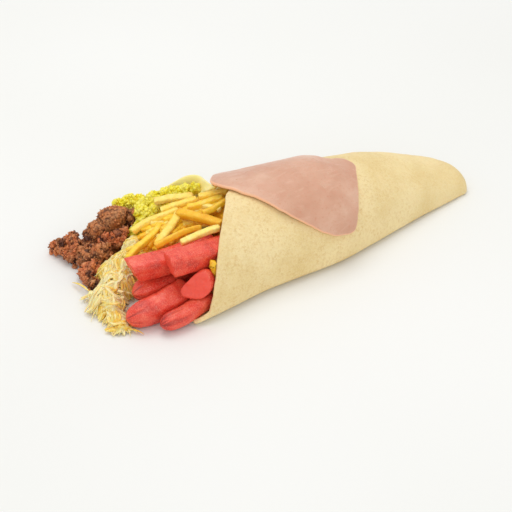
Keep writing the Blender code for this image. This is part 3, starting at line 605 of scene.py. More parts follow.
def hamOutline():
    # the edge of the slice laid flat, uneven as a cut edge is, and the way out of it
    outline = evenOutline(roundedOutline(ham["corners"], ham["cornerRound"]),
                          ham["outlineSteps"])
    ahead = np.roll(outline, -1, axis=0) - np.roll(outline, 1, axis=0)
    ahead /= np.linalg.norm(ahead, axis=1, keepdims=True)
    outward = np.column_stack((ahead[:, 1], -ahead[:, 0]))
    middle = outline.mean(axis=0)
    outward *= np.sign(np.sum(outward * (outline - middle)))
    waver = ham["waver"] * layeredNoise(withZero(outline), ham["waverSize"], seed=31)
    return outline + outward * waver[:, None], outward, middle


def makeHam():
    outline, outward, middle = hamOutline()
    half = ham["thickness"] / 2
    inward = outline - outward * half
    rows, rinds, underShades = [], [], []

    def addRow(flat, lift, rind, under):
        wave = ham["wave"] * softNoise(withZero(flat), ham["waveSize"], seed=41) - ham["waveDrop"]
        dimple = ham["dimple"] * layeredNoise(withZero(flat), ham["dimpleSize"], seed=43, layers=2)
        relief = np.clip(wave, *ham["waveLimits"]) + dimple
        rows.append(layOnWrap(flat, lift + relief))
        rinds.append(np.full(len(flat), rind))
        underShades.append(np.full(len(flat), under))

    # the top from its middle out, the rounded rind, and the underside back in
    shares = np.linspace(ham["innermost"], 1.0, ham["rings"])
    for share in shares:
        addRow(middle + (inward - middle) * share, ham["lift"] + ham["thickness"], 0.0, 0.0)
    for turnDown in np.linspace(*ham["edgeTurns"], ham["edgeRows"]):
        turn = math.radians(turnDown)
        addRow(inward + outward * half * math.sin(turn), ham["lift"] + half + half * math.cos(turn),
               min(1.0, turnDown / ham["rindFull"]), 0.0)
    # the underside rows carry the under mask for the painted shade
    for share in shares[::-1]:
        addRow(middle + (inward - middle) * share, ham["lift"], 0.0, 1.0)
    points, faces = loft(rows)
    values = {"rind": np.append(np.concatenate(rinds), (0.0, 0.0)),
              "under": np.append(np.concatenate(underShades), (0.0, 1.0))}
    return pieceFrom("hamSlice", points, faces, hamMaterial(), values)


settle(makeHam(), "ham", "ham")

# the cheese slice, standing at the far side of the mouth

print("cheese")
cheese = {
    "top": ((-36.0, 92.0, 29.0), (-19.0, 87.0, 39.0), (-11.0, 82.0, 44.5), (-5.0, 75.0, 46.5),
            (-3.5, 65.0, 46.5), (-2.0, 54.0, 46.5)),
    "foot": ((-40.0, 82.0, 4.0), (-28.0, 81.5, 4.0), (-18.0, 80.5, 4.0), (-12.5, 78.5, 12.0),
             (-10.0, 70.5, 30.0), (-8.0, 57.5, 44.0)),
    "thickness": 2.0, "columns": 90, "rows": 46, "wave": 0.35, "waveSize": 14.0,
    "edgeThin": 0.62, "edgeSteps": 2.0,   # thinner over the last steps, for a soft border
    "finish": {
        "shader": dict(rough=0.40, specular=0.4, bleed=(0.25, (1.0, 0.8, 0.3), 3.0)),
        "cloud": (18.0, 3.0), "tones": ((0.3, tint(253, 234, 146)), (0.65, tint(255, 243, 172))),
        "specks": (((1.6, 3.0), (0.45, 0.75), 0.2, tint(250, 236, 176)),),
        "rough": (0.34, 0.46), "bumps": ((2.0, 4.0),), "bumpDepth": (0.15, 0.3),
    },
}


def cheeseMaterial():
    finish = Finish("cheese", cheese["finish"])
    cloud = finish.grain(*cheese["finish"]["cloud"])
    return finish.done(finish.specks(finish.tones(cloud, cheese["finish"]["tones"])), cloud)


def makeCheese():
    columns, rows = cheese["columns"], cheese["rows"]
    across, down = np.arange(columns + 1), np.arange(rows + 1)[:, None]
    t = np.linspace(0.0, 1.0, columns + 1)
    top, foot = along(cheese["top"], t), along(cheese["foot"], t)
    drop = np.linspace(0.0, 1.0, rows + 1)[:, None, None]
    middle = top[None] + (foot - top)[None] * drop
    normal = np.cross(np.gradient(middle, axis=1), np.gradient(middle, axis=0))
    normal /= np.linalg.norm(normal, axis=2, keepdims=True)
    wave = cheese["wave"] * layeredNoise(middle, cheese["waveSize"], seed=51, layers=2)
    middle = middle + normal * wave[..., None]
    # both faces, drawn in a little at the border, and the strip that joins them
    border = np.minimum(np.minimum(down, rows - down), np.minimum(across, columns - across))
    full = np.clip(cheese["edgeThin"] + (1.0 - cheese["edgeThin"]) * border / cheese["edgeSteps"],
                   0.0, 1.0)
    push = normal * (cheese["thickness"] / 2 * full)[..., None]
    points = np.concatenate(((middle + push).reshape(-1, 3), (middle - push).reshape(-1, 3)))
    count = len(points) // 2
    sheet = gridFaces(rows + 1, columns + 1, closed=False)
    faces = sheet.tolist() + (sheet + count).tolist()
    flat = np.arange(count).reshape(rows + 1, columns + 1)
    ring = np.concatenate((flat[0, :-1], flat[:-1, -1], flat[-1, :0:-1], flat[:0:-1, 0]))
    for here, after in zip(ring, np.roll(ring, -1)):
        faces.append([here, after, after + count, here + count])
    return pieceFrom("cheeseSlice", points, faces, cheeseMaterial())


settle(makeCheese(), "cheese", "cheese")

# sausages

print("sausages")
sausages = {
    "sausage_1": dict(path=((-68, -4.5, 39.5), (-50, -3.5, 38), (-33, -1.5, 36), (-19, 2, 34)),
                      radius=8.5, cut=(-1.0, 0.06, -0.19), square=4.6, roll=0.16),
    "sausage_2": dict(path=((-87, 14, 29.8), (-62, 11.5, 30.2), (-40, 13.5, 30), (-22, 17, 29)),
                      radius=8.3, cut=(-0.94, 0.04, -0.36), square=4.6, roll=0.1),
    "sausage_3": dict(path=((-89, 10.5, 12.5), (-65, 12.8, 13), (-46, 16, 12.8), (-24, 19, 12)),
                      radius=8.2, cut=None, square=3.8, roll=0.35),
    "sausage_4": dict(path=((-54.5, -17, 24.2), (-49, -14.5, 24.6), (-43, -10.5, 24.8)),
                      radius=7.8, cut=(-0.6, -1.0, 0.55), square=2.3, roll=0.5, three=0.11),
    "sausage_5": dict(path=((-102.5, -8, 9.2), (-80, -7.2, 9.4), (-64, -4.8, 11.6),
                            (-52, -1.5, 12.2)),
                      radius=9.0, cut=None, square=3.6, roll=0.3),
    "sausage_6": dict(path=((-85, -23.0, 7.4), (-66, -21.6, 8.8), (-52, -17.0, 9.9),
                            (-42, -14.5, 9.9)),
                      radius=6.2, cut=None, square=3.0, roll=0.2),
}
sausageLook = {
    "sides": 72, "rings": 84, "capRings": 14, "crowding": 1.3, "shutEnd": 1.3, "threeStart": 1.2,
    "pucker": 1.0, "creaseSize": 3.2, "creaseRound": 8.0, "creaseRun": 7.0, "creaseFrom": 0.35,
    "creaseGain": 3.0, "creaseReach": 9.0, "wrinkle": 0.3, "wrinkleSize": 5.0,
    "fine": 0.07, "fineSize": 1.1, "smoothTip": 1.2,
    "cutReach": 2.2, "ragged": 0.8, "raggedSize": 2.8, "cutGrain": 0.22, "cutGrainSize": 2.0,
    "cutBulge": 0.25, "cutRound": 6, "cutSpread": 0.9, "overFloor": 0.2,
    "finish": {
        "shader": dict(rough=0.40, specular=0.5, bleed=(0.10, (1.0, 0.25, 0.15), 2.0),
                       coat=(0.12, 0.35)),
        "cloud": (11.0, 4.0, 0.6),
        "tones": ((0.20, tint(164, 26, 22)), (0.46, tint(230, 62, 40)), (0.76, tint(246, 110, 80))),
        "specks": (((0.8, 4.0, 0.7), (0.48, 0.68), 0.6, tint(250, 146, 118)),
                   ((0.8, 4.0, 0.7), (0.46, 0.30), 0.5, tint(164, 26, 22))),
        # crease is the colour of painted shade in the skin's creases
        "crease": tint(120, 12, 16), "creaseShadeShare": 0.7,
        "meat": tint(240, 78, 54), "meatSpots": tint(228, 66, 52), "meatShare": 0.5,
        "meatGrain": (1.6, 4.0), "meatBand": (0.4, 0.7),
        "rough": (0.48, 0.34), "bumps": ((1.1, 4.0, 0.6), (3.0, 3.0)), "bumpDepth": (0.4, 0.3),
    },
}


def sausageMaterial():
    values = sausageLook["finish"]
    finish = Finish("sausage", values)
    cloud = finish.grain(*values["cloud"])
    colour = finish.specks(finish.tones(cloud, values["tones"]))
    # the creases are painted darker by their depth, as painted shade
    colour = finish.over(colour, values["crease"], finish.ofPiece("crease"), values["creaseShadeShare"])
    spots = finish.fade(finish.grain(*values["meatGrain"]), *values["meatBand"])
    meat = finish.over(values["meat"], values["meatSpots"], spots, values["meatShare"])
    return finish.done(finish.over(colour, meat, finish.ofPiece("cut")), cloud)


def roundedEnd(distance, radius):
    # how far a domed end has opened out at a distance from its tip
    return np.sqrt(np.maximum(0.0, 1.0 - np.maximum(0.0, 1.0 - distance / radius) ** 2))


def sausageFrame(path, rings, roll, cut):
    # shares of the length, centres and directions; rings crowd where the shape turns fast
    even = np.linspace(0.0, 1.0, rings)
    t = 1.0 - (1.0 - even) ** sausageLook["crowding"] if cut else 0.5 - 0.5 * np.cos(math.pi * even)
    turned = [np.stack([np.interp(t, even, part[:, axis]) for axis in range(3)], axis=1)
              for part in axesAlong(along(path, even), roll)]
    return t, along(path, t), *turned


def creaseDepth(turn, into, seed):
    # creases run lengthwise and are deepest by a shut end
    look, shape = sausageLook, (len(into), len(turn))
    around = np.stack((np.cos(turn), np.sin(turn)), axis=1) * look["creaseRound"]
    place = np.concatenate((np.broadcast_to(around, (*shape, 2)),
                            np.broadcast_to((into / look["creaseRun"])[:, None, None],
                                            (*shape, 1))), axis=2)
    folds = np.clip(layeredNoise(place, look["creaseSize"], seed), 0.0, 1.0)
    depth = np.clip((folds - look["creaseFrom"]) * look["creaseGain"], 0.0, 1.0)
    return depth * np.exp(-into / look["creaseReach"])[:, None]


def cutRings(ring, facing, seed):
    # the cut face: rings drawn in from the skin, with a soft edge and a grainy surface
    look = sausageLook
    core = ring.mean(axis=0)
    rings = []
    for step in range(1, look["capRings"]):
        share = 1.0 - step / look["capRings"]
        face = core + (ring - core) * share ** look["cutSpread"]
        grainy = (look["cutGrain"] * layeredNoise(face, look["cutGrainSize"], seed + 30, layers=2)
                  + look["cutBulge"] * math.sqrt(1.0 - share ** look["cutRound"]))
        rings.insert(0, face + facing * grainy[:, None])
    return rings


def makeSausage(name, material, seed, path, radius, cut, square, roll, three=0.0):
    look, sides = sausageLook, sausageLook["sides"]
    t, centre, ahead, side, up = sausageFrame(path, look["rings"], roll, cut)
    length = sum(math.dist(path[step], path[step + 1]) for step in range(len(path) - 1))
    into = t * length
    taper = roundedEnd((1.0 - t) * length, radius)
    if not cut:
        taper *= roundedEnd(into, look["shutEnd"] * radius)
    turn = roundTurns(sides)
    squared = squaredReach(turn, square) * (1.0 + three * np.cos(3.0 * (turn - look["threeStart"])))
    spoke = spokes(side, up, turn)
    skin = centre[:, None] + spoke * (radius * taper[:, None] * squared[None])[..., None]
    crease = np.zeros((len(t), sides)) if cut else creaseDepth(turn, into, seed)
    push = (-look["pucker"] * crease
            + look["wrinkle"] * layeredNoise(skin, look["wrinkleSize"], seed + 3)
            + look["fine"] * softNoise(skin, look["fineSize"], seed + 9))
    push *= np.minimum(1.0, taper[:, None] * look["smoothTip"])
    skin = skin + spoke * push[..., None]
    caps = []
    if cut:
        # the first ring slides along the sausage onto the cut's plane, and the rest follow less
        facing = np.array(cut) / np.linalg.norm(cut)
        slide = -((skin[0] - centre[0]) @ facing) / (ahead[0] @ facing)
        slide = slide + look["ragged"] * layeredNoise(skin[0], look["raggedSize"], seed + 20, layers=2)
        ease = np.clip(1.0 - into / (look["cutReach"] * radius), 0.0, 1.0)[:, None]
        skin = skin + ahead[:, None] * (slide[None] * ease)[..., None]
        caps = cutRings(skin[0], facing, seed)
    points, faces = loft(caps + list(skin))
    keepOver(points, look["overFloor"])
    onCap = len(caps) * sides
    ends = (1.0 if cut else 0.0, 0.0)
    values = {"cut": np.concatenate((np.ones(onCap), np.zeros(skin.shape[0] * sides), ends)),
              "crease": np.concatenate((np.zeros(onCap), crease.ravel(), (0.0, 0.0)))}
    return pieceFrom(name + "Skin", points, faces, material, values)


sausageSkin = sausageMaterial()
for index, (name, shape) in enumerate(sausages.items()):
    settle(makeSausage(name, sausageSkin, 100 + 10 * index, **shape), "sausage", name)

# fries, heaped in the mouth over the filling

print("fries")
fries = {
    "core": (   # x, near, ridge, far, height
        (-60.0, 30.0, 42.0, 54.0, 25.0), (-48.0, 26.5, 42.0, 60.0, 33.0),
        (-30.0, 28.5, 43.0, 60.5, 39.0), (-16.5, 29.0, 44.0, 61.0, 43.0),
        (-12.5, -15.0, 30.0, 61.0, 43.5), (-3.0, -16.5, 29.0, 62.0, 45.0)),
    "insideX": (8.0, 34.0, 70.0, 105.0, 140.0, 168.0, 186.0), "wall": 3.4, "floor": 3.0,
    "coreSteps": (90, 140), "coreTone": 0.85, "coreEdge": 0.6,
    "coreBumps": (1.2, 5.0),   # how far they push, and their size
    "shown": (  # both ends, thickness and how golden
        ((-67, 56, 29.5), (-34, 50, 40.5), 5.2, 0.25), ((-83, 29, 28.5), (-50, 47, 35), 5.0, 0.55),
        ((-62, 26, 35), (-37, 45, 41), 5.6, 0.3), ((-43, 69, 39.5), (-21, 53, 46.5), 5.4, 0.15),
        ((-44, 57, 39), (-20, 49, 45.5), 4.6, 0.3), ((-30, 44, 44), (-5, 38, 48.5), 5.2, 0.5),
        ((-25, 30, 46), (-5, 31, 50), 5.0, 0.7), ((-37, 44, 42.5), (-20, 11, 46.5), 6.0, 0.85),
        ((-66, 21, 38.0), (-32, 20, 42.5), 5.0, 0.8), ((-52, 10, 42.5), (-24, 7.5, 47.0), 4.4, 0.1),
        ((-18, 50, 46), (2, 43, 49.5), 6.0, 0.4), ((-20, 40, 45), (-13, 27, 47), 4.0, 0.05),
        ((-40.5, -14.5, 38.5), (-39.5, -12.5, 24.5), 4.6, 0.75)),
    "count": 130, "x": (-62.0, -4.0), "angle": (38.0, 116.0), "heading": (-50.0, 42.0),
    "half": (9.0, 18.0), "rise": (0.02, 0.3), "thick": (3.4, 4.8), "lift": 0.6, "clear": 0.6,
    "toneChoice": (0.05, 0.2, 0.3, 0.45, 0.6, 0.8, 0.95), "roll": 0.5, "twist": 0.4,
    "bend": ((-1.2, 1.2), (-1.2, 1.2), (-0.8, 1.4)), "kink": (0.7, 0.7, 0.5),
    "sides": 16, "rings": 16, "endRings": ((0.0, 0.012), (0.988, 1.0)), "evenRings": (0.04, 0.96),
    "square": 9, "cornerFull": 0.28, "wide": (0.84, 1.02), "tall": (0.76, 0.94),
    "endSize": 0.84, "endReach": 0.5, "bump": 0.22, "bumpSize": 3.0, "fine": 0.07, "fineSize": 1.0,
    "goldenEnd": 0.35, "goldenReach": 3.0, "goldenEdge": 0.8, "tipEdge": 0.7, "overFloor": 0.3,
    "finish": {
        "shader": dict(rough=0.45, specular=0.42, bleed=(0.18, (1.0, 0.6, 0.2), 1.8)),
        "cloud": (5.0, 3.0), "cloudShare": 0.7,
        "tones": ((0.02, tint(255, 235, 136)), (0.55, tint(255, 212, 50)),
                  (1.0, tint(240, 174, 22))),
        "brown": tint(236, 156, 28), "brownShare": 0.6, "brownGrain": (2.4, 3.0),
        "brownBand": (0.40, 0.66),
        "specks": (((1.1, 4.0, 0.65), (0.55, 0.75), 0.35, tint(253, 238, 178)),),
        "rough": (0.36, 0.56), "bumps": ((0.9, 4.0, 0.6), (2.6, 3.0)), "bumpDepth": (0.45, 0.3),
    },
}


def friesMaterial():
    values = fries["finish"]
    finish = Finish("fries", values)
    cloud = finish.plus(finish.grain(*values["cloud"]), -0.5)
    tone = finish.plus(finish.ofPiece("tone"), finish.times(cloud, values["cloudShare"]))
    patch = finish.fade(finish.grain(*values["brownGrain"]), *values["brownBand"])
    edge = finish.times(finish.ofPiece("edge"), patch)
    colour = finish.over(finish.tones(tone, values["tones"]), values["brown"], edge,
                         values["brownShare"])
    return finish.done(finish.specks(colour), cloud, (-0.2, 0.2))


def addFry(heap, start, end, thick, tone, draw, seed):
    start, end = np.array(start, float), np.array(end, float)
    firstRings, lastRings = fries["endRings"]
    even = np.linspace(*fries["evenRings"], fries["rings"] - 4)
    t = np.concatenate((firstRings, even, lastRings))
    bend = np.array([draw.uniform(*limits) for limits in fries["bend"]])
    kink = np.array([vary(draw, reach) for reach in fries["kink"]])
    centre = (start + (end - start) * t[:, None] + bend * (4 * t * (1 - t))[:, None]
              + kink * np.sin(2 * math.pi * t)[:, None])
    _, side, up = axesAlong(centre, vary(draw, fries["roll"]) + vary(draw, fries["twist"]) * t)
    fromEnd = np.minimum(t, 1.0 - t) * np.linalg.norm(end - start)
    taper = fries["endSize"] + (1.0 - fries["endSize"]) * fromEnd / fries["endReach"]
    turn = roundTurns(fries["sides"])
    reach = boxReach(turn, fries["square"])
    wide, tall = thick * draw.uniform(*fries["wide"]), thick * draw.uniform(*fries["tall"])
    ring = spokes(side, up, turn, wide / 2, tall / 2) * reach[None, :, None]
    skin = centre[:, None] + ring * np.clip(taper, 0.0, 1.0)[:, None, None]
    outward = ring / np.linalg.norm(ring, axis=2, keepdims=True)
    push = (fries["bump"] * layeredNoise(skin, fries["bumpSize"], seed)
            + fries["fine"] * softNoise(skin, fries["fineSize"], seed + 5))
    points, faces = loft(skin + outward * push[..., None])
    keepOver(points, fries["overFloor"])
    # browner along the corners and by the ends
    corner = np.clip((reach - 1.0) / fries["cornerFull"], 0.0, 1.0) * fries["goldenEdge"]
    golden = fries["goldenEnd"] * np.clip(1.0 - fromEnd / fries["goldenReach"], 0.0, 1.0)
    edge = np.append((corner[None] + golden[:, None]).ravel(), (fries["tipEdge"],) * 2)
    heap.add(points, faces, tone=tone, edge=edge)


def coreSkin(sections, steps, bumps, seed):
    # a bumpy heap over (x, near, ridge, far, height) sections that stand at the core's floor
    roundSteps, lengthSteps = steps
    relief, size = bumps
    table = np.array(sections, float)
    x = np.interp(np.linspace(0, 1, lengthSteps), np.linspace(0, 1, len(table)), table[:, 0])
    near, ridge, far, height = [np.interp(x, table[:, 0], table[:, axis])[:, None]
                                for axis in range(1, 5)]
    low = fries["floor"]
    angle = 360.0 * np.arange(roundSteps)[None] / roundSteps
    y, z = sectionPoint(near, ridge, far, height, angle, low)
    skin = np.stack((np.broadcast_to(x[:, None], y.shape), y, z), axis=-1)
    middle = np.stack((x, ridge[:, 0], (height[:, 0] + low) / 2), axis=-1)[:, None]
    outward = skin - middle
    outward /= np.maximum(np.linalg.norm(outward, axis=-1, keepdims=True), 1e-6)
    fine = layeredNoise(skin, coreRelief["fineSize"], seed, layers=2)
    push = relief * (coreRelief["sink"] - cellDistance(skin, size, seed)
                     + coreRelief["fine"] * fine)
    return skin + outward * push[..., None]


def underWrap(points, clearance):
    # whether points lie past the mouth's edge, and how far they stand over its inner skin
    near, ridge, far, height = np.moveaxis(smoothThrough(wrap["stations"], points[:, 0]), -1, 0)
    reach = np.where(points[:, 1] < ridge, ridge - near, far - ridge) - wrap["thickness"]
    share = np.clip(np.abs(points[:, 1] - ridge) / reach, 0.0, 1.0)
    fold = wrap["baseFold"] * height
    top = fold + (height - wrap["thickness"] - fold) * np.sqrt(1.0 - share**2)
    angle = np.degrees(np.arctan2((points[:, 2] - fold) / height, (ridge - points[:, 1]) / reach))
    inside = points[:, 0] > mouthEdge(angle) - 1.0
    return inside, points[:, 2] - (top - clearance)


def fryClear(start, end, thick):
    t = np.linspace(0.0, 1.0, 8)[:, None]
    points = np.array(start, float) + (np.array(end, float) - np.array(start, float)) * t
    inside, over = underWrap(points, thick * fries["clear"])
    return not np.any(inside & (over > 0))


def makeFries():
    heap = Heap()
    draw = random.Random(17)
    sections = list(fries["core"])
    wall = fries["wall"]
    for x in fries["insideX"]:
        near, ridge, far, height = smoothThrough(wrap["stations"], x)
        sections.append((x, near + wall, ridge, far - wall, height - wall))
    points, faces = loft(coreSkin(sections, fries["coreSteps"], fries["coreBumps"], 61))
    heap.add(points, faces, tone=fries["coreTone"], edge=fries["coreEdge"])
    for index, (start, end, thick, tone) in enumerate(fries["shown"]):
        addFry(heap, start, end, thick, tone, draw, 300 + index)
    firstX, lastX = fries["x"]
    for index in range(fries["count"]):
        x = firstX + (lastX - firstX) * (index + 0.5) / fries["count"]
        near, ridge, far, height = smoothThrough(fries["core"][:4], x)
        y, z = sectionPoint(near, ridge, far, height, spread(index, fries["angle"]))
        heading = math.radians(draw.uniform(*fries["heading"]))
        half = draw.uniform(*fries["half"])
        step = np.array((math.cos(heading), math.sin(heading), draw.uniform(*fries["rise"]))) * half
        middle = np.array((x, float(y), float(z) + fries["lift"]))
        thick = draw.uniform(*fries["thick"])
        tone = draw.choice(fries["toneChoice"])
        if fryClear(middle - step, middle + step, thick):
            addFry(heap, middle - step, middle + step, thick, tone, draw, 400 + index)
    return heap.piece("friesHeap", friesMaterial())


settle(makeFries(), "fries", "fries")

# avocado mash, behind the fries and the large beef chunk

print("avocado")
avocado = {
    "core": (   # x, near, ridge, far, height
        (-60.0, 64.5, 70.0, 76.5, 20.0), (-52.5, 63.5, 71.5, 78.5, 28.0),
        (-45.0, 63.5, 72.0, 79.0, 33.0), (-37.5, 63.0, 71.0, 78.5, 36.0),
        (-26.0, 62.5, 71.0, 77.5, 39.0), (-18.0, 63.0, 70.0, 76.0, 40.0)),
    "back": (   # centre and reach
        ((-44.5, 83.0, 28.0), 6.5), ((-45.0, 91.5, 26.5), 6.0), ((-49.5, 98.5, 24.5), 6.0),
        ((-55.5, 101.5, 21.5), 5.8), ((-55.0, 103.0, 11.0), 7.0), ((-38.5, 80.0, 34.0), 5.6),
        ((-30.5, 77.0, 36.5), 5.2), ((-24.0, 75.0, 37.8), 4.6), ((-17.5, 73.0, 39.0), 4.0),
        ((-50.5, 77.0, 28.0), 5.2), ((-12.0, 69.0, 41.0), 3.4)),
    "coreSteps": (90, 80), "coreBumps": (1.4, 3.4), "coreTone": 0.2, "x": (-62.0, -17.0),
    "count": 720, "angle": (8.0, 172.0), "size": (0.55, 2.0), "lift": (-0.5, 0.8),
    "tone": (0.0, 0.8), "crag": 0.5, "perBack": 80, "backBody": 0.85, "backSkin": 0.9,
    "finish": {
        "shader": dict(rough=0.40, specular=0.45, bleed=(0.35, (1.0, 0.9, 0.2), 1.8)),
        "mottle": (3.0, 4.0, 0.6), "mottleShare": 0.5, "toneShare": 0.6,
        "patchGrain": (9.0, 1.0), "patchBand": (0.42, 0.58, -0.15, 0.35),
        "tones": ((0.08, tint(232, 196, 14)), (0.35, tint(246, 228, 22)),
                  (0.80, tint(255, 238, 96))),
        "specks": (((0.8, 3.0), (0.5, 0.75), 0.3, tint(252, 240, 140)),),
        "rough": (0.36, 0.52), "bumps": ((1.0, 4.0),), "bumpDepth": (0.4, 0.3),
    },
}


def avocadoMaterial():
    values = avocado["finish"]
    finish = Finish("avocado", values)
    mottle = finish.grain(*values["mottle"])
    patch = finish.fade(finish.grain(*values["patchGrain"]), *values["patchBand"])
    share = finish.plus(finish.times(finish.ofPiece("tone"), values["toneShare"]), patch,
                        finish.times(mottle, values["mottleShare"]))
    return finish.done(finish.specks(finish.tones(share, values["tones"])), mottle)


def makeAvocado():
    heap = Heap()
    draw = np.random.default_rng(21)
    points, faces = loft(coreSkin(avocado["core"], avocado["coreSteps"], avocado["coreBumps"], 71))
    heap.add(points, faces, tone=avocado["coreTone"])
    # mash over the core
    count = avocado["count"]
    x = np.linspace(*avocado["x"], count)
    near, ridge, far, height = smoothThrough(avocado["core"], x).T
    angle = np.array([spread(index, avocado["angle"]) for index in range(count)])
    y, z = sectionPoint(near, ridge, far, height, angle)
    size = draw.uniform(*avocado["size"], size=count)
    lift = draw.uniform(*avocado["lift"], size=count) * size
    scatter(heap, np.stack((x, y, z + lift), axis=-1), size, 22, crag=avocado["crag"],
            tone=draw.uniform(*avocado["tone"], size=count))
    # lumps of it behind the large beef chunk
    points, faces = ball(4)
    way = evenBall(avocado["perBack"])
    for index, (centre, reach) in enumerate(avocado["back"]):
        heap.add(np.array(centre) + points * reach * avocado["backBody"], faces,
                 tone=avocado["coreTone"])
        size = draw.uniform(*avocado["size"], size=len(way))
        scatter(heap, np.array(centre) + way * (reach * avocado["backSkin"]), size, 30 + index,
                crag=avocado["crag"], tone=draw.uniform(*avocado["tone"], size=len(way)))
    return heap.piece("avocadoMash", avocadoMaterial())


settle(makeAvocado(), "avocado", "avocado")

# beef, chunks of crumbly ground meat

print("beef")
beef = {
    "chunks": {   # lumps as centre and half sizes
        "beef_1": (((-67.5, 88.0, 22.2), (12.5, 7.4, 9.6)), ((-78.5, 87.0, 17.6), (11.0, 7.2, 7.8))),
        "beef_2": (((-79.5, 75.0, 14.0), (6.5, 6.0, 6.0)), ((-73.0, 70.5, 16.5), (6.5, 6.0, 6.0)),
                   ((-68.0, 72.0, 18.5), (4.0, 4.5, 4.5))),
        "beef_3": (((-104.5, 92.0, 8.0), (8.0, 7.0, 7.7)), ((-109.5, 99.0, 4.6), (4.5, 4.5, 4.3)),
                   ((-103.5, 83.5, 6.5), (6.0, 6.5, 6.2)), ((-98.5, 91.0, 8.0), (6.0, 7.0, 7.5)),
                   ((-96.5, 96.0, 12.2), (3.0, 3.0, 3.8))),
        "beef_4": (((-91.0, 68.0, 10.0), (8.0, 7.5, 9.0)), ((-97.0, 70.0, 7.5), (7.0, 7.0, 7.2)),
                   ((-84.5, 66.0, 11.0), (5.5, 5.0, 7.0)), ((-97.5, 77.5, 8.5), (5.0, 5.0, 6.5))),
        "beef_5": (((-57.5, 80.0, 22.0), (3.2, 3.4, 3.6)), ((-55.5, 81.5, 27.0), (3.0, 3.0, 3.2))),
        "beef_6": (((-103.0, 53.0, 6.5), (6.0, 6.0, 6.2)), ((-98.5, 57.0, 8.5), (5.5, 5.5, 6.0)),
                   ((-104.5, 58.5, 5.0), (4.0, 4.5, 4.6))),
        "beef_7": (((-103.8, 45.0, 3.6), (4.0, 3.0, 3.2)), ((-100.0, 43.0, 4.0), (4.0, 3.0, 3.6)))},
    "turn": {"beef_1": 8.0},   # degrees about z
    "mounds": (((-81.0, 85.0, 0.0), (16.0, 14.0, 13.0)), ((-63.0, 88.0, 0.0), (9.0, 10.0, 13.0))),
    "crumbs": (((-88.5, 84.0, 13.0), 3.4), ((-85.0, 92.5, 12.0), 4.2), ((-77.0, 98.0, 8.5), 4.8),
               ((-67.0, 97.5, 9.0), 4.8), ((-60.5, 83.0, 13.0), 4.4), ((-86.0, 76.5, 9.0), 4.2)),
    # how red the meat is, and how dark
    "red": {"beef_2": 0.9, "beef_3": 0.6, "beef_4": 0.25, "beef_6": 0.85, "beef_crumbs": 0.4},
    "dark": {"beef_5": 0.55, "beef_7": 0.5, "beef_crumbs": 0.6}, "plainRed": 0.15,
    # a large lump has the smoother face of a slab, and finer grains of meat on it
    "largeLump": 10.0, "seed": 5, "waves": 7, "pace": (2.0, 6.5),
    # shadeAndStain, pitShade and dipShade darken the bodies and the sunk grains as painted shade
    "lump": dict(detail=4, crag=0.24, square=2.0, cell=3.4, pit=2.2, sink=0.5, shadeAndStain=0.45,
                 grains=(0.45, 2.0), perArea=0.33, grainDetail=2, dip=2.4, dipShade=3.0),
    "slab": dict(detail=5, crag=0.12, square=2.8, cell=1.9, pit=0.9, sink=0.15, shadeAndStain=0.2,
                 grains=(0.3, 0.9), perArea=0.34, grainDetail=1, dip=0.5, dipShade=1.6),
    "pitLevel": 0.45, "fine": 0.35, "fineSize": 1.6, "stain": 0.35, "stainSize": 6.0,
    "pitShade": 1.6, "darkest": 0.9, "fewLarge": 1.6, "lift": (-0.2, 0.5), "grainCrag": 0.9,
    "darkVary": 0.25, "redVary": 0.35, "overFloor": 0.3,
    "moundBumps": (0.9, 0.4, 3.4),   # how far they push, their level and their size
    "moundShade": 0.75, "moundRed": 0.3, "moundGrains": 520, "moundFrom": 0.02,
    "moundScale": 1.15, "moundDark": (-0.4, 0.25), "moundReds": (0.0, 0.8), "moundDarkest": 0.85,
    "crumbDark": 0.3, "looseCrag": 0.5,
    "loose": 46, "looseMiddle": (-84.0, 80.0), "looseReach": (24.0, 22.0), "looseHeight": 0.9,
    "looseFrom": (0.82, 1.0), "looseSize": (0.6, 1.2), "looseTone": 0.25, "looseRed": 0.5,
    "finish": {
        "shader": dict(rough=0.5, specular=0.4),
        "cloud": (8.0, 3.0), "tones": ((0.35, tint(206, 122, 60)), (0.70, tint(198, 144, 98))),
        "redTones": ((0.35, tint(224, 116, 66)), (0.75, tint(216, 140, 96))),
        "specks": (((1.2, 5.0, 0.7), (0.50, 0.70), 0.7, tint(244, 182, 118)),
                   ((1.2, 5.0, 0.7), (0.48, 0.32), 0.7, tint(96, 42, 20))),
        # the colour of painted shade in pits and gaps, which random stain also darkens toward
        "shadeAndStain": tint(56, 14, 4),
        "rough": (0.42, 0.62), "bumps": ((1.2, 5.0, 0.7), (0.5, 3.0)), "bumpDepth": (0.7, 0.4),
    },
}


def beefMaterial():
    values = beef["finish"]
    finish = Finish("beef", values)
    cloud = finish.grain(*values["cloud"])
    colour = finish.over(finish.tones(cloud, values["tones"]),
                         finish.tones(cloud, values["redTones"]), finish.ofPiece("red"))
    # the tone attribute mixes toward it: painted shade in the pits and under the grains, plus random
    # stain
    colour = finish.over(finish.specks(colour), values["shadeAndStain"], finish.ofPiece("tone"))
    return finish.done(colour, cloud)


def lumpKind(half):
    return beef["slab"] if max(half) > beef["largeLump"] else beef["lump"]


def lumpShape(points, half, turn, seed):
    # a ball pushed in and out by the same waves as the lump's plain form
    kind = lumpKind(half)
    draw = random.Random(seed)
    push = np.zeros(len(points))
    for _ in range(beef["waves"]):
        way = Vector((draw.uniform(-1, 1), draw.uniform(-1, 1), draw.uniform(-1, 1))).normalized()
        pace, start = draw.uniform(*beef["pace"]), draw.uniform(0.0, math.tau)
        push += np.sin(points @ np.array(way) * pace + start)
    boxy = np.sum(np.abs(points) ** kind["square"], axis=1) ** (-1.0 / kind["square"])
    shape = points * (boxy * (1.0 - kind["crag"] * (0.5 - push / 4.0)))[:, None]
    spin = np.array(Matrix.Rotation(math.radians(turn), 3, "Z"))
    return (shape * np.array(half)) @ spin.T


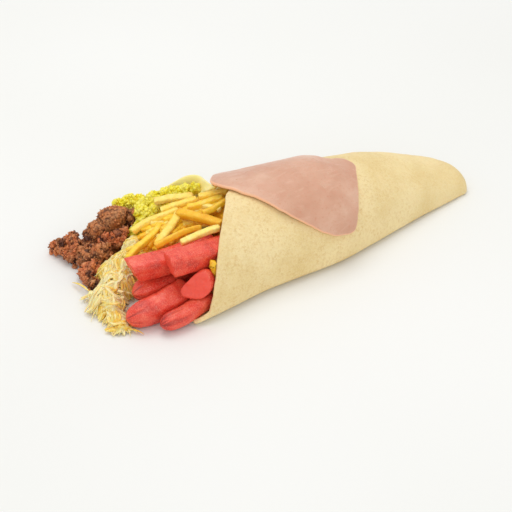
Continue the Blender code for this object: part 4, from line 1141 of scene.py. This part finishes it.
def addMeat(heap, centre, half, turn, seed, red, dark, draw):
    # a craggy body painted dark, as painted shade between its grains, with grains of meat all over it
    kind, centre = lumpKind(half), np.array(centre)
    points, faces = ball(kind["detail"])
    body = lumpShape(points, half, turn, seed)
    outward = body / np.linalg.norm(body, axis=1, keepdims=True)
    pits = beef["pitLevel"] - cellDistance(body, kind["cell"], seed + 900)
    push = (kind["pit"] * pits - kind["sink"]
            + beef["fine"] * layeredNoise(body, beef["fineSize"], seed + 940, layers=2))
    skin = centre + body + outward * push[:, None]
    keepOver(skin, beef["overFloor"])
    # the body's tone: painted shade, darkest in the sunk pits, plus random stain
    shadeAndStain = dark + kind["shadeAndStain"] - beef["pitShade"] * pits + meatStain(centre + body)
    heap.add(skin, faces, tone=np.clip(shadeAndStain, 0.0, beef["darkest"]), red=red)
    # grains, many small and few large, sunk into the pits and painted darker there as painted shade
    area = 4.0 * math.pi * (math.prod(half) ** (2.0 / 3.0))
    way = evenBall(int(area * kind["perArea"]))
    count = len(way)
    small, large = kind["grains"]
    size = small * (large / small) ** (draw.uniform(size=count) ** beef["fewLarge"])
    spots = lumpShape(way, half, turn, seed)
    dip = cellDistance(spots, kind["cell"], seed + 900) - beef["pitLevel"]
    stain = meatStain(centre + spots)
    drop = kind["dip"] * dip + draw.uniform(*beef["lift"], size=count) * size
    dark = dark + kind["dipShade"] * dip + stain + vary(draw, beef["darkVary"], count)
    scatter(heap, centre + spots - way * drop[:, None], size, seed + 970,
            detail=kind["grainDetail"], crag=beef["grainCrag"],
            tone=np.clip(dark, 0.0, beef["darkest"]),
            red=np.clip(red + vary(draw, beef["redVary"], count), 0.0, 1.0))


def meatStain(points):
    return beef["stain"] * layeredNoise(points, beef["stainSize"], seed=931, layers=2)


def makeBeef(name, index, lumps, material):
    heap = Heap()
    draw = np.random.default_rng(40 + index)
    red, dark = beef["red"].get(name, beef["plainRed"]), beef["dark"].get(name, 0.0)
    for step, (centre, half) in enumerate(lumps):
        addMeat(heap, centre, half, beef["turn"].get(name, 0.0),
                beef["seed"] + index + 10 * step, red, dark, draw)
    return heap.piece(name + "Meat", material)


def makeBeefCrumbs(material):
    heap = Heap()
    draw = np.random.default_rng(77)
    red, dark = beef["red"]["beef_crumbs"], beef["dark"]["beef_crumbs"]
    push, levelOut, cell = beef["moundBumps"]
    points, faces = ball(5)
    way = evenBall(beef["moundGrains"])
    way = way[way[:, 2] > beef["moundFrom"]]   # the upper half
    for index, (centre, half) in enumerate(beef["mounds"]):
        body = points * np.array(half)
        bumps = push * (levelOut - cellDistance(body, cell, 95 + index))
        skin = np.array(centre) + body + points * bumps[:, None]
        keepOver(skin, beef["overFloor"])
        # the mound's body is painted dark, as painted shade in the gaps between its grains
        heap.add(skin, faces, tone=beef["moundShade"], red=beef["moundRed"])
        size = draw.uniform(*beef["lump"]["grains"], size=len(way)) * beef["moundScale"]
        shade = dark + draw.uniform(*beef["moundDark"], size=len(way))
        scatter(heap, np.array(centre) + way * np.array(half), size, 60 + index,
                crag=beef["looseCrag"], tone=np.clip(shade, 0.0, beef["moundDarkest"]),
                red=draw.uniform(*beef["moundReds"], size=len(way)))
    for index, (centre, size) in enumerate(beef["crumbs"]):
        addMeat(heap, centre, (size, size, size), 0.0, index, red, beef["crumbDark"], draw)
    # loose bits that dropped round the heap
    count = beef["loose"]
    turn = draw.uniform(0.0, math.tau, size=count)
    reach = draw.uniform(*beef["looseFrom"], size=count)[:, None] * np.array(beef["looseReach"])
    bits = np.array(beef["looseMiddle"]) + reach * np.stack((np.cos(turn), np.sin(turn)), axis=-1)
    bits = np.column_stack((bits, np.full(count, beef["looseHeight"])))
    scatter(heap, bits, draw.uniform(*beef["looseSize"], size=count), 88, crag=beef["looseCrag"],
            tone=beef["looseTone"], red=beef["looseRed"])
    return heap.piece("beefCrumbs", material)


beefMeat = beefMaterial()
for index, (name, lumps) in enumerate(beef["chunks"].items()):
    settle(makeBeef(name, index, lumps, beefMeat), "beef", name)
settle(makeBeefCrumbs(beefMeat), "beef", "beef_crumbs")

# shredded chicken

print("chicken")
chicken = {
    # mounds are centre and half sizes, and the shown shreds both ends, width and tone
    "mounds": (((-104.0, 21.0, 0.0), (11.0, 15.0, 12.5)), ((-92.0, 31.0, 0.0), (12.0, 11.5, 16.0)),
               ((-80.0, 42.0, 0.0), (12.0, 14.0, 22.0)), ((-69.5, 50.0, 0.0), (8.0, 12.5, 25.0)),
               ((-89.5, 47.0, 0.0), (9.0, 9.0, 14.0)), ((-105.5, 1.0, 0.0), (5.5, 11.5, 4.0))),
    "shown": (((-114.0, 58.0, 1.4), (-109.0, 38.0, 4.5), 1.6, 0.6),
              ((-103.5, 42.0, 12.5), (-78.0, 39.5, 27.5), 1.1, -0.2),
              ((-112.0, 9.0, 2.0), (-100.0, 22.0, 13.0), 2.6, 0.3),
              ((-110.5, 2.0, 1.6), (-96.0, 14.0, 8.0), 2.4, 0.5),
              ((-106.0, -1.0, 1.6), (-98.5, -15.5, 1.4), 1.8, 0.3),
              ((-103.5, -9.0, 1.2), (-95.0, -18.5, 1.0), 1.3, 0.8)),
    "count": 215, "strands": (2, 5), "fibre": (0.8, 2.2), "half": (3.2, 9.0), "curl": 1.5,
    "heading": (0.0, 180.0), "sides": 6, "rings": 12, "loose": 240, "looseHalf": (4.0, 10.0),
    "looseWide": 0.75, "looseThick": 0.5, "looseTone": (-0.3, 0.3), "tone": (-0.2, 0.6),
    "toneVary": 0.25, "shownThick": 0.6, "shownArch": 2.0, "arch": (0.2, 2.0), "sway": 2.0,
    "lift": (-0.3, 1.2), "lowest": 0.9, "overMound": 0.3, "easeSteps": 3,
    "twistStart": 0.8, "twist": 1.0, "frayPower": (0.3, 0.7), "frayStretch": (1.06, 0.03),
    "tipSize": 0.2, "ripple": 0.16, "rippleSize": 1.8, "fibreSize": 2.5, "overFloor": 0.25,
    "apart": (0.55, 0.85), "strandLift": (-0.5, 0.7), "parting": (0.2, 1.3),
    "strandStart": (0.0, 0.25), "strandEnd": (0.75, 1.0), "wide": (1.0, 2.0),
    "body": 0.93, "moundBumps": (0.8, 0.5, 4.0), "fine": 0.3, "fineSize": 2.0, "bodyTone": 0.5,
    "bodyFibre": 0.4, "bodyOverFloor": 0.3,
    "finish": {
        "shader": dict(rough=0.45, specular=0.45, bleed=(0.3, (1.0, 0.6, 0.3), 1.5)),
        "mottle": (4.0, 4.0), "mottleShare": 1.4,
        "tones": ((0.0, tint(255, 238, 176)), (0.6, tint(255, 218, 100)), (1.0, tint(238, 162, 44))),
        "strand": tint(238, 162, 44), "strandShare": 0.3, "strandBand": (0.40, 0.85),
        "rough": (0.34, 0.52), "bumps": ((0.8, 4.0),), "bumpDepth": (0.35, 0.3),
    },
}


def chickenMaterial():
    values = chicken["finish"]
    finish = Finish("chicken", values)
    mottle = finish.plus(finish.grain(*values["mottle"]), -0.5)
    share = finish.plus(finish.ofPiece("tone"), finish.times(mottle, values["mottleShare"]))
    strand = finish.fade(finish.ofPiece("fibre"), *values["strandBand"])
    colour = finish.over(finish.tones(share, values["tones"]), values["strand"], strand,
                         values["strandShare"])
    return finish.done(colour, mottle, (-0.2, 0.2))


def moundHeight(x, y):
    top = np.zeros(np.shape(x))
    for centre, half in chicken["mounds"]:
        inside = 1.0 - ((x - centre[0]) / half[0]) ** 2 - ((y - centre[1]) / half[1]) ** 2
        rise = half[2] * np.sqrt(np.clip(inside, 0.0, 1.0))
        top = np.maximum(top, chicken["overMound"] + rise)
    return top


def addShred(heap, centre, width, thick, tone, draw, seed):
    t = np.linspace(0.0, 1.0, len(centre))
    roll = vary(draw, chicken["twistStart"]) + vary(draw, chicken["twist"]) * t
    _, side, up = axesAlong(centre, roll)
    stretch, early = chicken["frayStretch"]
    fray = np.sin(math.pi * np.clip(t * stretch - early, 0.0, 1.0))
    fray = fray ** draw.uniform(*chicken["frayPower"])
    tip = chicken["tipSize"]
    ring = spokes(side, up, roundTurns(chicken["sides"]), width / 2, thick / 2)
    skin = centre[:, None] + ring * (tip + (1.0 - tip) * fray)[:, None, None]
    ripple = chicken["ripple"] * softNoise(skin, chicken["rippleSize"], seed)
    points, faces = loft(skin + ripple[..., None] * up[:, None])
    keepOver(points, chicken["overFloor"])
    fibre = 0.5 + 0.5 * softNoise(points, chicken["fibreSize"], seed + 1)
    heap.add(points, faces, tone=tone, fibre=fibre)


def addBundle(heap, path, tone, draw, seed):
    # strands that lie side by side and part toward their ends
    t = np.linspace(0.0, 1.0, len(path))
    _, side, up = axesAlong(path)
    count = draw.randint(*chicken["strands"])
    for strand in range(count):
        across = (strand - (count - 1) / 2) * draw.uniform(*chicken["apart"])
        lift = draw.uniform(*chicken["strandLift"])
        part = (1.0 + draw.uniform(*chicken["parting"]) * (2 * t - 1) ** 2)[:, None]
        first, last = draw.uniform(*chicken["strandStart"]), draw.uniform(*chicken["strandEnd"])
        centre = path + (side * across + up * lift) * part
        marks = np.linspace(first, last, len(path))
        centre = np.stack([np.interp(marks, t, centre[:, axis]) for axis in range(3)], axis=-1)
        thick = draw.uniform(*chicken["fibre"])
        addShred(heap, centre, thick * draw.uniform(*chicken["wide"]), thick,
                 tone + vary(draw, chicken["toneVary"]), draw, seed + strand)


def shredPath(index, t, reach, draw):
    # a curved way over the mounds, from a spot picked evenly over one of them
    middle, half = chicken["mounds"][index % len(chicken["mounds"])]
    turn, out = spread(index, (0.0, math.tau)), math.sqrt(draw.uniform(0.0, 1.0))
    heading = math.radians(draw.uniform(*chicken["heading"]))
    reach = draw.uniform(*reach)
    way = heading + vary(draw, chicken["curl"]) * (t - 0.5)
    arc = np.sin(math.pi * t)
    x = (middle[0] + half[0] * out * math.cos(turn) + reach * np.cos(way) * (2 * t - 1)
         + vary(draw, chicken["sway"]) * arc)
    y = middle[1] + half[1] * out * math.sin(turn) + reach * np.sin(way) * (2 * t - 1)
    ground = moundHeight(x, y)
    steps = chicken["easeSteps"]
    window = np.ones(2 * steps + 1) / (2 * steps + 1)
    eased = np.convolve(np.pad(ground, steps, mode="edge"), window, "valid")
    arch = draw.uniform(*chicken["arch"]) * arc
    z = np.maximum(eased, ground) + draw.uniform(*chicken["lift"]) + arch
    return np.stack((x, y, np.maximum(z, chicken["lowest"])), axis=1)


def makeChicken():
    heap = Heap()
    draw = random.Random(12)
    points, faces = ball(5)
    push, levelOut, cell = chicken["moundBumps"]
    for centre, half in chicken["mounds"]:
        spot = np.array(centre) + points * np.array(half) * chicken["body"]
        bumps = (push * (levelOut - cellDistance(spot, cell, 81))
                 + chicken["fine"] * layeredNoise(spot, chicken["fineSize"], seed=83, layers=2))
        spot = spot + points * bumps[:, None]
        keepOver(spot, chicken["bodyOverFloor"])
        heap.add(spot, faces, tone=chicken["bodyTone"], fibre=chicken["bodyFibre"])
    t = np.linspace(0.0, 1.0, chicken["rings"])
    for index, (start, end, width, tone) in enumerate(chicken["shown"]):
        centre = np.array(start) + (np.array(end) - np.array(start)) * t[:, None]
        centre[:, 2] += chicken["shownArch"] * np.sin(math.pi * t)
        addShred(heap, centre, width, width * chicken["shownThick"], tone, draw, 1000 + index)
    count = chicken["count"]
    for index in range(count):
        centre = shredPath(index, t, chicken["half"], draw)
        addBundle(heap, centre, draw.uniform(*chicken["tone"]), draw, 1100 + 10 * index)
    for index in range(count, count + chicken["loose"]):
        centre = shredPath(index, t, chicken["looseHalf"], draw)
        addShred(heap, centre, chicken["looseWide"], chicken["looseThick"],
                 draw.uniform(*chicken["looseTone"]), draw, 4000 + index)
    return heap.piece("chickenShreds", chickenMaterial())


settle(makeChicken(), "chicken", "chicken")

# floor and light

print("stage")
stage = {
    "size": 6.0, "drop": 0.0002,
    "lights": {   # place, width and power
        "keyLight": ((0.0, 0.35, 1.3), 0.9, 6.0), "frontLight": ((-0.5, -1.2, 0.9), 1.0, 3.0)},
    "aim": (0.0, 0.0, 0.03), "fill": 0.78,
    "floor": {"shader": dict(rough=0.75, specular=0.2), "cloud": (400.0, 1.0),
              "tones": ((0.3, tint(236, 236, 232)), (0.7, tint(240, 240, 237)))},
}


def floorMaterial():
    finish = Finish("floor", stage["floor"])
    shade = finish.tones(finish.grain(*stage["floor"]["cloud"]), stage["floor"]["tones"])
    finish.tree.links.new(shade, finish.shader.inputs["Base Color"])
    return finish.material


def makeStage():
    half = stage["size"] / 2
    mesh = bpy.data.meshes.new("floor")
    mesh.from_pydata([(-half, -half, 0), (half, -half, 0), (half, half, 0), (-half, half, 0)], [],
                     [(0, 1, 2, 3)])
    mesh.materials.append(floorMaterial())
    floor = bpy.data.objects.new("floor", mesh)
    bpy.context.scene.collection.objects.link(floor)
    floor.location.z = -stage["drop"]
    for name, (place, size, power) in stage["lights"].items():
        lamp = bpy.data.objects.new(name, bpy.data.lights.new(name, "AREA"))
        lamp.data.size = size
        lamp.data.energy = power
        lamp.location = place
        back = Vector(place) - Vector(stage["aim"])
        lamp.rotation_euler = back.to_track_quat("Z", "Y").to_euler()
        bpy.context.scene.collection.objects.link(lamp)
    bpy.context.scene.view_settings.view_transform = "Standard"   # plain, bright product light
    world = bpy.data.worlds.new("room")
    world.use_nodes = True
    background = world.node_tree.nodes["Background"]
    background.inputs["Color"].default_value = (1.0, 1.0, 1.0, 1.0)
    background.inputs["Strength"].default_value = stage["fill"]
    bpy.context.scene.world = world


makeStage()
